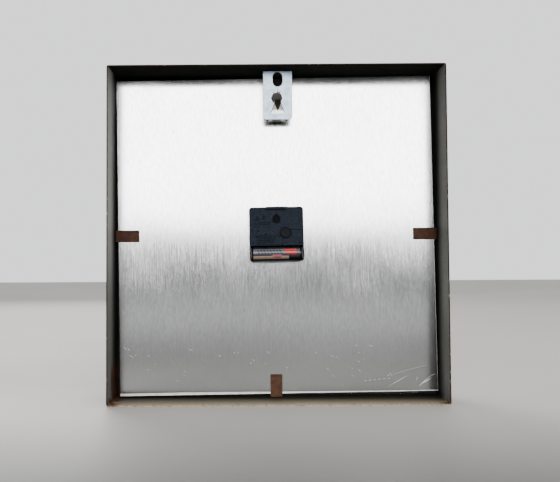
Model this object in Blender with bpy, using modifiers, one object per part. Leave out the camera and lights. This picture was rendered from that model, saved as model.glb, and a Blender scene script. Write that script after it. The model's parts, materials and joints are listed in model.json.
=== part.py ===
"""Square wall clock in an open-backed sheet-steel case, with its whole quartz movement.

Metres, +Z up. The clock stands on its bottom wall, centred on the origin. The dial faces -Y
and the open back faces +Y. Run with: blender --background --python part.py
"""
import math

import bmesh
import bpy
from mathutils import Matrix, Vector

MM = 0.001
GAP = 0.3 * MM                     # left between two pieces that touch in the real clock

# Case: a square tray of sheet steel, open at the back, with a window in its front
CASE_SIDE = 342 * MM
CASE_HALF_DEPTH = 31 * MM
SHEET = 1.0 * MM
FRONT_FLANGE = 14 * MM
CASE_EDGE_RADIUS = 1.5 * MM
INNER_HALF = CASE_SIDE / 2 - SHEET
CASE_CENTRE_Z = CASE_SIDE / 2

# Glass, spacer strips and dial plate, from the front to the back
GLASS_SIDE = 338 * MM
GLASS_THICKNESS = 3 * MM
GLASS_FRONT_Y = -CASE_HALF_DEPTH + SHEET + GAP
GLASS_BACK_Y = GLASS_FRONT_Y + GLASS_THICKNESS
DIAL_FRONT_Y = -13 * MM
DIAL_THICKNESS = 1.0 * MM
DIAL_BACK_Y = DIAL_FRONT_Y + DIAL_THICKNESS
DIAL_SIDE = 333 * MM
DIAL_TILT = math.radians(0.75)     # the dial sits slightly crooked in its case
DIAL_CENTRE_Z = 171.8 * MM
DIAL_HOLE_RADIUS = 4.3 * MM
SPACER_OUTER_HALF = 165.5 * MM
SPACER_WIDTH = 4 * MM

# Tabs that hold the dial plate, and the hanging bracket
TAB_THICKNESS = 0.9 * MM
TAB_WIDTH = 12.4 * MM
TAB_FRONT_Y = -24 * MM
TAB_REACH = {"left_tab": 25.2 * MM, "right_tab": 25.0 * MM, "bottom_tab": 24.0 * MM}
TAB_OFFSET = {"left_tab": 0.0, "right_tab": 1.3 * MM, "bottom_tab": 0.6 * MM}
BRACKET_THICKNESS = 1.5 * MM
BRACKET_BACK_Y = 9 * MM
BRACKET_WIDTH = 30 * MM
BRACKET_DROP = 50.5 * MM
BRACKET_SHELF = 20 * MM
BRACKET_X = -2 * MM
TONGUE_BEND = math.radians(24)
RIVET_RADIUS = 1.8 * MM
RIVET_HOLE_RADIUS = 2.1 * MM
RIVET_SPACING = 16 * MM

# Movement: its body, in its own frame, whose origin is the centre of the hands
BODY_HALF = 28 * MM
BODY_CORNER = 3 * MM
BODY_WALL = 1.0 * MM
BODY_FRONT_Y = -10.6 * MM
BODY_FLOOR_Y = -9.4 * MM
BODY_SPLIT_Y = 2.9 * MM
BODY_BACK_Y = 5.4 * MM
BAY_TOP_Z = -11.9 * MM             # lower edge of the back cover, above the battery bay
BAY_WALL_Z = -12.2 * MM            # wall between the battery bay and the gears
BUSH_RADIUS = 4.0 * MM
BUSH_BORE = 2.7 * MM
BUSH_END_Y = -17.4 * MM
KNOB_RECESS_RADIUS = 6.3 * MM
KNOB_RADIUS = 5.0 * MM
KEYHOLE_DEPTH = 1.2 * MM
PANEL_LEFT_X = -6.0 * MM           # edges of the small panel beside the knob
PANEL_TOP_Z = 4.4 * MM
NUT_ACROSS_FLATS = 12 * MM
CELL_RADIUS = 7.1 * MM
CELL_Y = -2.0 * MM
CELL_Z = -19.6 * MM
CELL_PLUS_X = -25.6 * MM
CELL_MINUS_X = 24.9 * MM

# Arbors of the gear train, as (x, z) in the movement's frame
MOTION_AXIS = (-9.35 * MM, 0.95 * MM)
THIRD_AXIS = (5.4 * MM, 6.4 * MM)
INTERMEDIATE_AXIS = (-3.0 * MM, 8.35 * MM)
ROTOR_AXIS = (-9.0 * MM, 11.8 * MM)
CENTRE_AXIS = (0.0, 0.0)

# Teeth: (wheel, pinion) of each pair
ROTOR_PAIR = (36, 6)               # intermediate wheel, rotor pinion
SECOND_PAIR = (40, 8)              # second wheel, intermediate pinion
THIRD_PAIR = (45, 6)               # third wheel, second pinion
CENTRE_PAIR = (48, 6)              # centre wheel, third pinion
MOTION_PAIR = (30, 10)             # motion wheel, cannon pinion
HOUR_PAIR = (32, 8)                # hour wheel, motion pinion
TOOTH_ADDENDUM = 0.85              # in modules
TOOTH_DEDENDUM = 1.15
TOOTH_HALF_ROOT = 0.32             # in tooth pitches, as an angle
TOOTH_HALF_TIP = 0.11

# Layers of the train, as (front y, back y)
HOUR_LAYER = (-9.1 * MM, -8.1 * MM)
MOTION_LAYER = (-7.8 * MM, -6.8 * MM)
BRIDGE_LAYER = (-6.5 * MM, -5.7 * MM)
CENTRE_LAYER = (-5.4 * MM, -4.6 * MM)
THIRD_LAYER = (-4.0 * MM, -3.2 * MM)
SECOND_LAYER = (-2.6 * MM, -1.8 * MM)
INTERMEDIATE_LAYER = (-1.2 * MM, -0.4 * MM)
MAGNET_LAYER = (-0.1 * MM, 1.5 * MM)
STATOR_LAYER = (0.2 * MM, 1.2 * MM)
BOARD_LAYER = (-2.6 * MM, -1.8 * MM)
MOTION_SHAFT_BACK_Y = -2.0 * MM    # the setting knob's shaft goes on from here
ARBOR_BACK_Y = 2.6 * MM
ARBOR_RADIUS = 0.5 * MM
PIVOT_HOLE_RADIUS = 0.6 * MM

# Coaxial tubes and shafts of the hands
HOUR_TUBE = (2.5 * MM, 1.75 * MM, -19.9 * MM)       # outer radius, bore, front end
MINUTE_TUBE = (1.6 * MM, 0.75 * MM, -22.6 * MM)
SECOND_SHAFT_END_Y = -24.9 * MM

# Hands, and the time that they show
HOUR_HAND = (84 * MM, 18 * MM, 9 * MM, 5 * MM)      # length, tail, width at the boss, at the tip
MINUTE_HAND = (124 * MM, 22 * MM, 7.5 * MM, 3.6 * MM)
SECOND_HAND = (128 * MM, 38 * MM, 2.2 * MM, 1.0 * MM)
TIME_HOURS, TIME_MINUTES, TIME_SECONDS = 10, 9, 36

SEGMENTS = 32
FINE_SEGMENTS = 16


# ---------------------------------------------------------------- scene and materials

def clear_scene():
    for thing in list(bpy.data.objects):
        bpy.data.objects.remove(thing, do_unlink=True)


def new_collection(name):
    collection = bpy.data.collections.new(name)
    bpy.context.scene.collection.children.link(collection)
    return collection


def material(name, colour, roughness, metallic=0.0, alpha=1.0):
    made = bpy.data.materials.new(name)
    made.use_nodes = True
    shader = made.node_tree.nodes["Principled BSDF"]
    shader.inputs["Base Color"].default_value = (*colour, 1.0)
    shader.inputs["Roughness"].default_value = roughness
    shader.inputs["Metallic"].default_value = metallic
    shader.inputs["Alpha"].default_value = alpha
    return made


clear_scene()
PARTS = new_collection("service_station_clock")

GREY_PAINT = material("grey_paint", (0.30, 0.30, 0.29), 0.38)
GLASS = material("glass", (0.92, 0.95, 0.94), 0.05, alpha=0.3)
BLACK_STRIP = material("black_strip", (0.02, 0.02, 0.02), 0.8)
DIAL_METAL = material("dial_aluminium", (0.78, 0.78, 0.79), 0.32, metallic=1.0)
BROWN_STEEL = material("brown_steel", (0.10, 0.05, 0.03), 0.7, metallic=0.3)
ZINC = material("zinc", (0.62, 0.66, 0.70), 0.4, metallic=1.0)
BLACK_PLASTIC = material("black_plastic", (0.03, 0.035, 0.045), 0.55)
WHITE_PLASTIC = material("white_plastic", (0.75, 0.74, 0.70), 0.45)
STEEL = material("steel", (0.56, 0.57, 0.58), 0.35, metallic=1.0)
BRASS = material("brass", (0.72, 0.53, 0.22), 0.3, metallic=1.0)
COPPER_WIRE = material("enamelled_wire", (0.45, 0.16, 0.06), 0.4, metallic=0.6)
BOARD_GREEN = material("circuit_board_green", (0.03, 0.16, 0.07), 0.5)
MAGNET = material("magnet", (0.08, 0.08, 0.09), 0.4, metallic=0.8)
BLACK_RUBBER = material("black_rubber", (0.03, 0.03, 0.03), 0.85)
BATTERY_WRAP = material("battery_wrap", (0.05, 0.05, 0.06), 0.3)
HAND_BLACK = material("hand_black", (0.015, 0.015, 0.015), 0.4)
HAND_RED = material("hand_red", (0.50, 0.03, 0.02), 0.4)


# ---------------------------------------------------------------- shapes

def add_object(name, mesh, surface, location=(0, 0, 0), parent=None, turn=0.0):
    """Puts a mesh in the scene under a name, turned about its own Y axis."""
    made = bpy.data.objects.new(name, mesh)
    PARTS.objects.link(made)
    mesh.name = name
    mesh.materials.clear()
    mesh.materials.append(surface)
    mesh.shade_smooth()
    mesh.set_sharp_from_angle(angle=math.radians(30))
    made.parent = parent
    made.location = location
    made.rotation_euler = (0, turn, 0)
    return made


def prism(loops, y_front, y_back):
    """A mesh of the flat outline `loops`, drawn in X and Z, between two heights along Y.
    Loops inside the first one are holes."""
    drawing = bpy.data.curves.new("outline", "CURVE")
    drawing.dimensions = "2D"
    drawing.fill_mode = "BOTH"
    drawing.extrude = (y_back - y_front) / 2
    for loop in loops:
        spline = drawing.splines.new("POLY")
        spline.points.add(len(loop) - 1)
        spline.use_cyclic_u = True
        for point, (x, z) in zip(spline.points, loop):
            point.co = (x, z, 0, 1)
    holder = bpy.data.objects.new("outline", drawing)
    bpy.context.scene.collection.objects.link(holder)
    mesh = solid_mesh(holder)
    bpy.data.objects.remove(holder)
    bpy.data.curves.remove(drawing)
    middle = Matrix.Translation((0, (y_front + y_back) / 2, 0))
    mesh.transform(middle @ Matrix.Rotation(math.pi / 2, 4, "X"))
    return mesh


def solid_mesh(holder):
    """The evaluated mesh of an object, with its caps welded to its sides."""
    bpy.context.view_layer.update()
    seen = holder.evaluated_get(bpy.context.evaluated_depsgraph_get())
    mesh = bpy.data.meshes.new_from_object(seen)
    shape = bmesh.new()
    shape.from_mesh(mesh)
    bmesh.ops.remove_doubles(shape, verts=shape.verts, dist=0.002 * MM)
    bmesh.ops.recalc_face_normals(shape, faces=shape.faces)
    shape.to_mesh(mesh)
    shape.free()
    return mesh


def block(size, centre):
    """A box mesh."""
    shape = bmesh.new()
    bmesh.ops.create_cube(shape, size=1.0)
    bmesh.ops.scale(shape, vec=size, verts=shape.verts)
    bmesh.ops.translate(shape, vec=centre, verts=shape.verts)
    mesh = bpy.data.meshes.new("block")
    shape.to_mesh(mesh)
    shape.free()
    return mesh


def span_block(x_span, y_span, z_span):
    """A box mesh between two values along each axis."""
    spans = (x_span, y_span, z_span)
    return block([high - low for low, high in spans], [(low + high) / 2 for low, high in spans])


def turned(profile, axis, segments=SEGMENTS):
    """A solid of revolution. The profile lists (radius, height) down its outer side, and the
    heights run along the axis, "X", "Y" or "Z"."""
    mesh = bpy.data.meshes.new("profile")
    points = [(radius, 0, height) for radius, height in profile]
    edges = [(number, number + 1) for number in range(len(points) - 1)]
    mesh.from_pydata(points, edges, [])
    holder = bpy.data.objects.new("profile", mesh)
    bpy.context.scene.collection.objects.link(holder)
    screw = holder.modifiers.new("turn", "SCREW")
    screw.steps = screw.render_steps = segments
    screw.use_merge_vertices = True
    screw.merge_threshold = 0.002 * MM
    made = solid_mesh(holder)
    bpy.data.objects.remove(holder)
    turns = {"X": Matrix.Rotation(math.pi / 2, 4, "Y"), "Y": Matrix.Rotation(-math.pi / 2, 4, "X"),
             "Z": Matrix.Identity(4)}
    made.transform(turns[axis])
    return made


def combine(base, others, operation):
    """The base mesh with other meshes joined to it ("UNION") or cut from it ("DIFFERENCE")."""
    for other in others:
        holder = bpy.data.objects.new("base", base)
        tool = bpy.data.objects.new("tool", other)
        for thing in (holder, tool):
            bpy.context.scene.collection.objects.link(thing)
        step = holder.modifiers.new("step", "BOOLEAN")
        step.operation = operation
        step.solver = "EXACT"
        step.object = tool
        result = solid_mesh(holder)
        for thing in (holder, tool):
            bpy.data.objects.remove(thing)
        base = result
    return base


def join(base, *others):
    return combine(base, others, "UNION")


def cut(base, *others):
    return combine(base, others, "DIFFERENCE")


# ---------------------------------------------------------------- outlines

def circle(radius, centre=(0, 0), segments=SEGMENTS):
    angles = [2 * math.pi * number / segments for number in range(segments)]
    return [(centre[0] + radius * math.cos(a), centre[1] + radius * math.sin(a)) for a in angles]


def rectangle(x_span, z_span):
    (x0, x1), (z0, z1) = x_span, z_span
    return [(x0, z0), (x1, z0), (x1, z1), (x0, z1)]


def rounded_rectangle(x_span, z_span, radii, steps=4):
    """A rectangle with rounded corners; radii run from the lower left, anticlockwise."""
    loop = []
    for number, (x, z) in enumerate(rectangle(x_span, z_span)):
        radius = radii[number]
        side_x, side_z = (1, -1, -1, 1)[number], (1, 1, -1, -1)[number]
        centre = (x + side_x * radius, z + side_z * radius)
        if not radius:
            loop.append((x, z))
            continue
        for step in range(steps + 1):
            angle = math.pi + math.pi / 2 * (number + step / steps)
            loop.append((centre[0] + radius * math.cos(angle), centre[1] + radius * math.sin(angle)))
    return loop


def slot_outline(centre, width, height, steps=8):
    """An upright slot with round ends."""
    reach = (height - width) / 2
    loop = []
    for side, start in ((1, 0.0), (-1, math.pi)):
        for step in range(steps + 1):
            angle = start + math.pi * step / steps
            loop.append((centre[0] + width / 2 * math.cos(angle),
                         centre[1] + side * reach + width / 2 * math.sin(angle)))
    return loop


def gear_outline(teeth, module, phase):
    """Teeth with straight flanks; one tooth points along the angle `phase`."""
    pitch = 2 * math.pi / teeth
    root = module * (teeth / 2 - TOOTH_DEDENDUM)
    tip = module * (teeth / 2 + TOOTH_ADDENDUM)
    corners = ((root, -TOOTH_HALF_ROOT), (tip, -TOOTH_HALF_TIP),
               (tip, TOOTH_HALF_TIP), (root, TOOTH_HALF_ROOT))
    loop = []
    for number in range(teeth):
        for radius, offset in corners:
            angle = phase + pitch * (number + offset)
            loop.append((radius * math.cos(angle), radius * math.sin(angle)))
    return loop


def mesh_pair(pair, wheel_axis, pinion_axis):
    """Outlines of a wheel and its pinion, each about its own arbor and in mesh."""
    wheel_teeth, pinion_teeth = pair
    reach = Vector(pinion_axis) - Vector(wheel_axis)
    module = 2 * reach.length / (wheel_teeth + pinion_teeth)
    heading = math.atan2(reach.y, reach.x)
    wheel = gear_outline(wheel_teeth, module, heading)
    pinion = gear_outline(pinion_teeth, module, heading + math.pi + math.pi / pinion_teeth)
    return wheel, pinion


# ---------------------------------------------------------------- case, glass and dial

def case_shell():
    """Open tray: five faces of a cube, the front one with its window, given the sheet's thickness."""
    shape = bmesh.new()
    bmesh.ops.create_cube(shape, size=1.0)
    bmesh.ops.scale(shape, vec=(CASE_SIDE, 2 * CASE_HALF_DEPTH, CASE_SIDE), verts=shape.verts)
    bmesh.ops.translate(shape, vec=(0, 0, CASE_CENTRE_Z), verts=shape.verts)
    faces = {round(face.normal.y): face for face in shape.faces if abs(face.normal.y) > 0.5}
    bmesh.ops.delete(shape, geom=[faces[1]], context="FACES_ONLY")
    bmesh.ops.inset_region(shape, faces=[faces[-1]], thickness=FRONT_FLANGE)
    bmesh.ops.delete(shape, geom=[faces[-1]], context="FACES_ONLY")
    corners = [edge for edge in shape.edges if not edge.is_boundary and all(
        abs(abs(vert.co.x) - CASE_SIDE / 2) < MM for vert in edge.verts)]
    corners += [edge for edge in shape.edges if not edge.is_boundary and edge not in corners and all(
        abs(abs(vert.co.z - CASE_CENTRE_Z) - CASE_SIDE / 2) < MM for vert in edge.verts)]
    bmesh.ops.bevel(shape, geom=corners, offset=CASE_EDGE_RADIUS, segments=3, profile=0.5,
                    affect="EDGES")
    mesh = bpy.data.meshes.new("shell")
    shape.to_mesh(mesh)
    shape.free()
    holder = bpy.data.objects.new("shell", mesh)
    bpy.context.scene.collection.objects.link(holder)
    solidify = holder.modifiers.new("sheet", "SOLIDIFY")
    solidify.thickness = SHEET
    solidify.offset = -1
    solidify.use_even_offset = True
    shell = solid_mesh(holder)
    bpy.data.objects.remove(holder)
    holes = [rivet_hole(x, CASE_SIDE - SHEET / 2) for x in rivet_places()]
    add_object("case_shell", cut(shell, *holes), GREY_PAINT)


def rivet_places():
    return [BRACKET_X - RIVET_SPACING / 2, BRACKET_X + RIVET_SPACING / 2]


def rivet_y():
    return BRACKET_BACK_Y - BRACKET_SHELF / 2


def rivet_hole(x, z):
    hole = turned([(0, 4 * MM), (RIVET_HOLE_RADIUS, 4 * MM), (RIVET_HOLE_RADIUS, -4 * MM), (0, -4 * MM)],
                  "Z", FINE_SEGMENTS)
    hole.transform(Matrix.Translation((x, rivet_y(), z)))
    return hole


def glass_and_spacers():
    half = GLASS_SIDE / 2
    glass = prism([rectangle((-half, half), (-half, half))], GLASS_FRONT_Y, GLASS_BACK_Y)
    add_object("front_glass", glass, GLASS, (0, 0, CASE_CENTRE_Z))

    outer = SPACER_OUTER_HALF
    inner = outer - SPACER_WIDTH
    strips = {
        "spacer_left": ((inner, outer), (-outer, outer)),
        "spacer_right": ((-outer, -inner), (-outer, outer)),
        "spacer_top": ((-inner + GAP, inner - GAP), (inner, outer)),
        "spacer_bottom": ((-inner + GAP, inner - GAP), (-outer, -inner)),
    }
    for name, (x_span, z_span) in strips.items():
        strip = span_block(x_span, (GLASS_BACK_Y + GAP, DIAL_FRONT_Y - GAP), z_span)
        add_object(name, strip, BLACK_STRIP, (0, 0, CASE_CENTRE_Z))


def dial_plate(tilted):
    half = DIAL_SIDE / 2
    loops = [rectangle((-half, half), (-half, half)), circle(DIAL_HOLE_RADIUS)]
    add_object("dial_plate", prism(loops, DIAL_FRONT_Y, DIAL_BACK_Y), DIAL_METAL, parent=tilted)


def dial_tabs():
    """Bent straps: one leg lies along a wall, the other comes over the back of the dial plate.
    Each is modelled against the wall at +X and then turned to its own wall."""
    turns = {"left_tab": 0.0, "bottom_tab": math.pi / 2, "right_tab": math.pi}
    leg_back = DIAL_BACK_Y + GAP + TAB_THICKNESS
    for name, turn in turns.items():
        outer = INNER_HALF - GAP
        across = (-TAB_WIDTH / 2, TAB_WIDTH / 2)
        wall_leg = span_block((outer - TAB_THICKNESS, outer), (TAB_FRONT_Y, leg_back), across)
        plate_leg = span_block((outer - TAB_REACH[name], outer - TAB_THICKNESS / 2),
                               (DIAL_BACK_Y + GAP, leg_back), across)
        strap = join(plate_leg, wall_leg)
        strap.transform(Matrix.Rotation(turn, 4, "Y"))
        offset = TAB_OFFSET[name]
        place = (offset, 0, CASE_CENTRE_Z) if name == "bottom_tab" else (0, 0, CASE_CENTRE_Z + offset)
        add_object(name, strap, BROWN_STEEL, place)


def tongue_outline(width, height):
    """A triangle with a blunt tip, standing on its base."""
    tip = 0.8 * MM
    return [(-width / 2, 0), (width / 2, 0), (tip, height), (-tip, height)]


def hanging_bracket():
    """Angle bracket: a shelf under the top wall and a drop with its slot, hole and bent tongue."""
    top = CASE_SIDE - SHEET - GAP
    front = BRACKET_BACK_Y - BRACKET_THICKNESS
    half = BRACKET_WIDTH / 2
    bottom = top - BRACKET_DROP
    hole_z = top - 29.3 * MM
    base_z = top - 44.4 * MM
    slot = slot_outline((0, top - 10.2 * MM), 10 * MM, 16 * MM)
    outline = rounded_rectangle((-half, half), (bottom, top), (4 * MM, 4 * MM, 0, 0))
    drop = prism([outline, slot], front, BRACKET_BACK_Y)
    through = (front - 2 * MM, BRACKET_BACK_Y + 2 * MM)
    window_outline = tongue_outline(15.2 * MM, hole_z - base_z)
    window_outline = [(x, z + base_z) for x, z in window_outline]
    cutters = [prism([window_outline], *through), prism([circle(6 * MM, (0, hole_z), 8)], *through)]
    for angle in (-28, 0, 28):
        notch = prism([rectangle((-0.6 * MM, 0.6 * MM), (5 * MM, 8 * MM))], *through)
        turn = Matrix.Rotation(math.radians(angle), 4, "Y")
        notch.transform(Matrix.Translation((0, 0, hole_z)) @ turn)
        cutters.append(notch)
    tongue = prism([tongue_outline(13.6 * MM, 14.6 * MM)], -BRACKET_THICKNESS, 0)
    tongue.transform(Matrix.Translation((0, BRACKET_BACK_Y - 0.1 * MM, base_z - 0.8 * MM)) @ Matrix.Rotation(
        -TONGUE_BEND, 4, "X"))
    shelf = span_block((-half, half), (BRACKET_BACK_Y - BRACKET_SHELF, front + 0.5 * MM),
                       (top - BRACKET_THICKNESS, top))
    bracket = join(cut(drop, *cutters), shelf, tongue)
    bracket.transform(Matrix.Translation((BRACKET_X, 0, 0)))
    holes = [rivet_hole(x, top) for x in rivet_places()]
    add_object("hanging_bracket", cut(bracket, *holes), ZINC)

    head_z = CASE_SIDE + GAP
    tail_z = top - BRACKET_THICKNESS - GAP
    rivet = turned([(0, head_z + 1.2 * MM), (2.2 * MM, head_z + 0.9 * MM), (3.6 * MM, head_z),
                    (RIVET_RADIUS, head_z), (RIVET_RADIUS, tail_z), (3.2 * MM, tail_z),
                    (2.6 * MM, tail_z - 0.9 * MM), (0, tail_z - 0.9 * MM)], "Z", FINE_SEGMENTS)
    for number, x in enumerate(rivet_places(), start=1):
        mesh = rivet.copy()
        mesh.transform(Matrix.Translation((x, rivet_y(), 0)))
        add_object(f"bracket_rivet_{number}", mesh, ZINC)


# ---------------------------------------------------------------- movement body

def movement_front_case(tilted):
    """Moulded tray with the threaded bush, the wall of the battery bay and posts for the train."""
    half, wall = BODY_HALF, BODY_WALL
    inner = half - wall
    corners = (BODY_CORNER,) * 4
    tray = prism([rounded_rectangle((-half, half), (-half, half), corners)], BODY_FRONT_Y, BODY_SPLIT_Y)
    bay_outline = rounded_rectangle((-half, half), (-half, BAY_TOP_Z - GAP), (*corners[:2], 0, 0))
    bay_rim = prism([bay_outline], BODY_SPLIT_Y - 1 * MM, BODY_BACK_Y)
    tray = join(tray, bay_rim)
    depth = (BODY_FLOOR_Y, BODY_BACK_Y + 1 * MM)
    gear_room = span_block((-inner, inner), depth, (BAY_WALL_Z + wall, inner))
    bay_room = span_block((-inner, inner), depth, (-inner, BAY_WALL_Z))
    bush = prism([circle(BUSH_RADIUS)], BUSH_END_Y, BODY_FRONT_Y + 0.5 * MM)
    tray = join(cut(tray, gear_room, bay_room), bush)
    for x, z, top in post_places():
        post = prism([circle(1.2 * MM, (x, z), 12)], BODY_FLOOR_Y - 0.5 * MM, top - GAP)
        tray = join(tray, post)
    bore = prism([circle(BUSH_BORE)], BUSH_END_Y - 1 * MM, BODY_FLOOR_Y + 1 * MM)
    add_object("movement_front_case", cut(tray, bore), BLACK_PLASTIC, parent=tilted)


def post_places():
    """Posts that carry the bridge plate and the circuit board, as (x, z, y of what they carry)."""
    bridge_corners = ((-12.8, 14.8), (10.6, 14.8), (10.6, -8), (-12.8, -8.4))
    bridge = [(x * MM, z * MM, BRIDGE_LAYER[0]) for x, z in bridge_corners]
    board = [(20 * MM, z * MM, BOARD_LAYER[0]) for z in (-7, 21)]
    return bridge + board


def movement_back(tilted):
    """Back cover, with its keyhole, and the small panel over the battery terminals."""
    half = BODY_HALF
    y_span = (BODY_SPLIT_Y + GAP, BODY_BACK_Y)
    through = (BODY_SPLIT_Y - 1 * MM, BODY_BACK_Y + 1 * MM)
    recess = [prism([circle(KNOB_RECESS_RADIUS, MOTION_AXIS)], *through) for _ in range(2)]
    outline = rounded_rectangle((-half, half), (BAY_TOP_Z, half), (0, 0, BODY_CORNER, BODY_CORNER))
    panel_hole = span_block((-half - 1 * MM, PANEL_LEFT_X), through, (BAY_TOP_Z - 1 * MM, PANEL_TOP_Z))
    keyhole_outline = slot_outline((-0.4 * MM, 16.2 * MM), 9 * MM, 9.6 * MM)
    keyhole = prism([keyhole_outline], BODY_BACK_Y - KEYHOLE_DEPTH, through[1])
    cover = cut(prism([outline], *y_span), panel_hole, recess[0], keyhole)
    add_object("movement_back_cover", cover, BLACK_PLASTIC, parent=tilted)
    panel = prism([rectangle((-half, PANEL_LEFT_X - GAP), (BAY_TOP_Z, PANEL_TOP_Z - GAP))], *y_span)
    add_object("terminal_cover", cut(panel, recess[1]), BLACK_PLASTIC, parent=tilted)


def battery_and_contacts(tilted):
    radius = CELL_RADIUS
    length = CELL_MINUS_X - CELL_PLUS_X
    plus = 1.0 * MM
    edge, nub = 0.6 * MM, 2.75 * MM
    profile = [(0, length), (radius - edge, length), (radius, length - edge), (radius, plus + edge),
               (radius - edge, plus), (nub, plus), (nub, 0), (0, 0)]
    cell = turned(profile, "X")
    add_object("battery", cell, BATTERY_WRAP, (CELL_PLUS_X, CELL_Y, CELL_Z), tilted)

    plate = 0.4 * MM
    outer = BODY_HALF - BODY_WALL - GAP
    inner = outer - plate
    depth, height = (-8.8 * MM, 2.6 * MM), (-25.6 * MM, -13.4 * MM)
    add_object("positive_contact", span_block((-outer, -inner), depth, height), STEEL, parent=tilted)
    minus_plate = span_block((inner, outer), depth, height)
    face, tip = outer - plate / 2, CELL_MINUS_X + GAP
    spring = turned([(0, face), (3.6 * MM, face), (2.2 * MM, tip), (0, tip)], "X", 24)
    spring.transform(Matrix.Translation((0, CELL_Y, CELL_Z)))
    add_object("negative_contact", join(minus_plate, spring), STEEL, parent=tilted)


def electronics(tilted):
    """Circuit board with its chip and crystal, and the motor's coil, core and stator."""
    board = span_block((14.5 * MM, 26 * MM), BOARD_LAYER, (-10.4 * MM, 24 * MM))
    add_object("circuit_board", board, BOARD_GREEN, parent=tilted)
    face = BOARD_LAYER[1] + GAP
    chip = turned([(0, face + 1.1 * MM), (2.2 * MM, face + 0.8 * MM), (3.2 * MM, face), (0, face)], "Y", 24)
    add_object("clock_chip", chip, BLACK_PLASTIC, (20.2 * MM, 0, 4 * MM), tilted)
    can = turned([(0, 3 * MM), (0.8 * MM, 3 * MM), (1 * MM, 2.8 * MM), (1 * MM, -3 * MM), (0, -3 * MM)],
                 "Z", 16)
    add_object("quartz_crystal", can, STEEL, (18 * MM, face + 1 * MM, 15 * MM), tilted)

    coil_centre = (-14.8 * MM, -0.6 * MM, 20.8 * MM)
    add_object("coil_core", block((20.4 * MM, 1 * MM, 3 * MM), coil_centre), STEEL, parent=tilted)
    radius, reach = 3.2 * MM, 6.5 * MM
    winding = turned([(0, reach), (radius, reach), (radius, -reach), (0, -reach)], "X", 24)
    winding.transform(Matrix.Translation(coil_centre))
    core_hole = block((20 * MM, 1 * MM + 2 * GAP, 3 * MM + 2 * GAP), coil_centre)
    add_object("coil", cut(winding, core_hole), COPPER_WIRE, parent=tilted)
    outline = [(-25, 7.8), (-4.6, 7.8), (-4.6, 22.8), (-8, 22.8),
               (-8, 16.2), (-22, 16.2), (-22, 22.8), (-25, 22.8)]
    loops = [[(x * MM, z * MM) for x, z in outline], circle(3.1 * MM, ROTOR_AXIS, 24)]
    add_object("stator", prism(loops, *STATOR_LAYER), STEEL, parent=tilted)


def bridge_plate(tilted):
    outline = rounded_rectangle((-14.4 * MM, 12.2 * MM), (-10 * MM, 16.4 * MM), (1.5 * MM,) * 4, 2)
    holes = [circle(MINUTE_TUBE[0] + GAP, CENTRE_AXIS, 24), circle(1.2 * MM + GAP, MOTION_AXIS, 16)]
    holes += [circle(PIVOT_HOLE_RADIUS, axis, 12) for axis in (THIRD_AXIS, INTERMEDIATE_AXIS, ROTOR_AXIS)]
    add_object("bridge_plate", prism([outline, *holes], *BRIDGE_LAYER), WHITE_PLASTIC, parent=tilted)


# ---------------------------------------------------------------- gear train

def arbor(y_front, y_back, radius=ARBOR_RADIUS):
    return prism([circle(radius, segments=12)], y_front, y_back)


def place(axis):
    return (axis[0], 0, axis[1])


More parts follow.
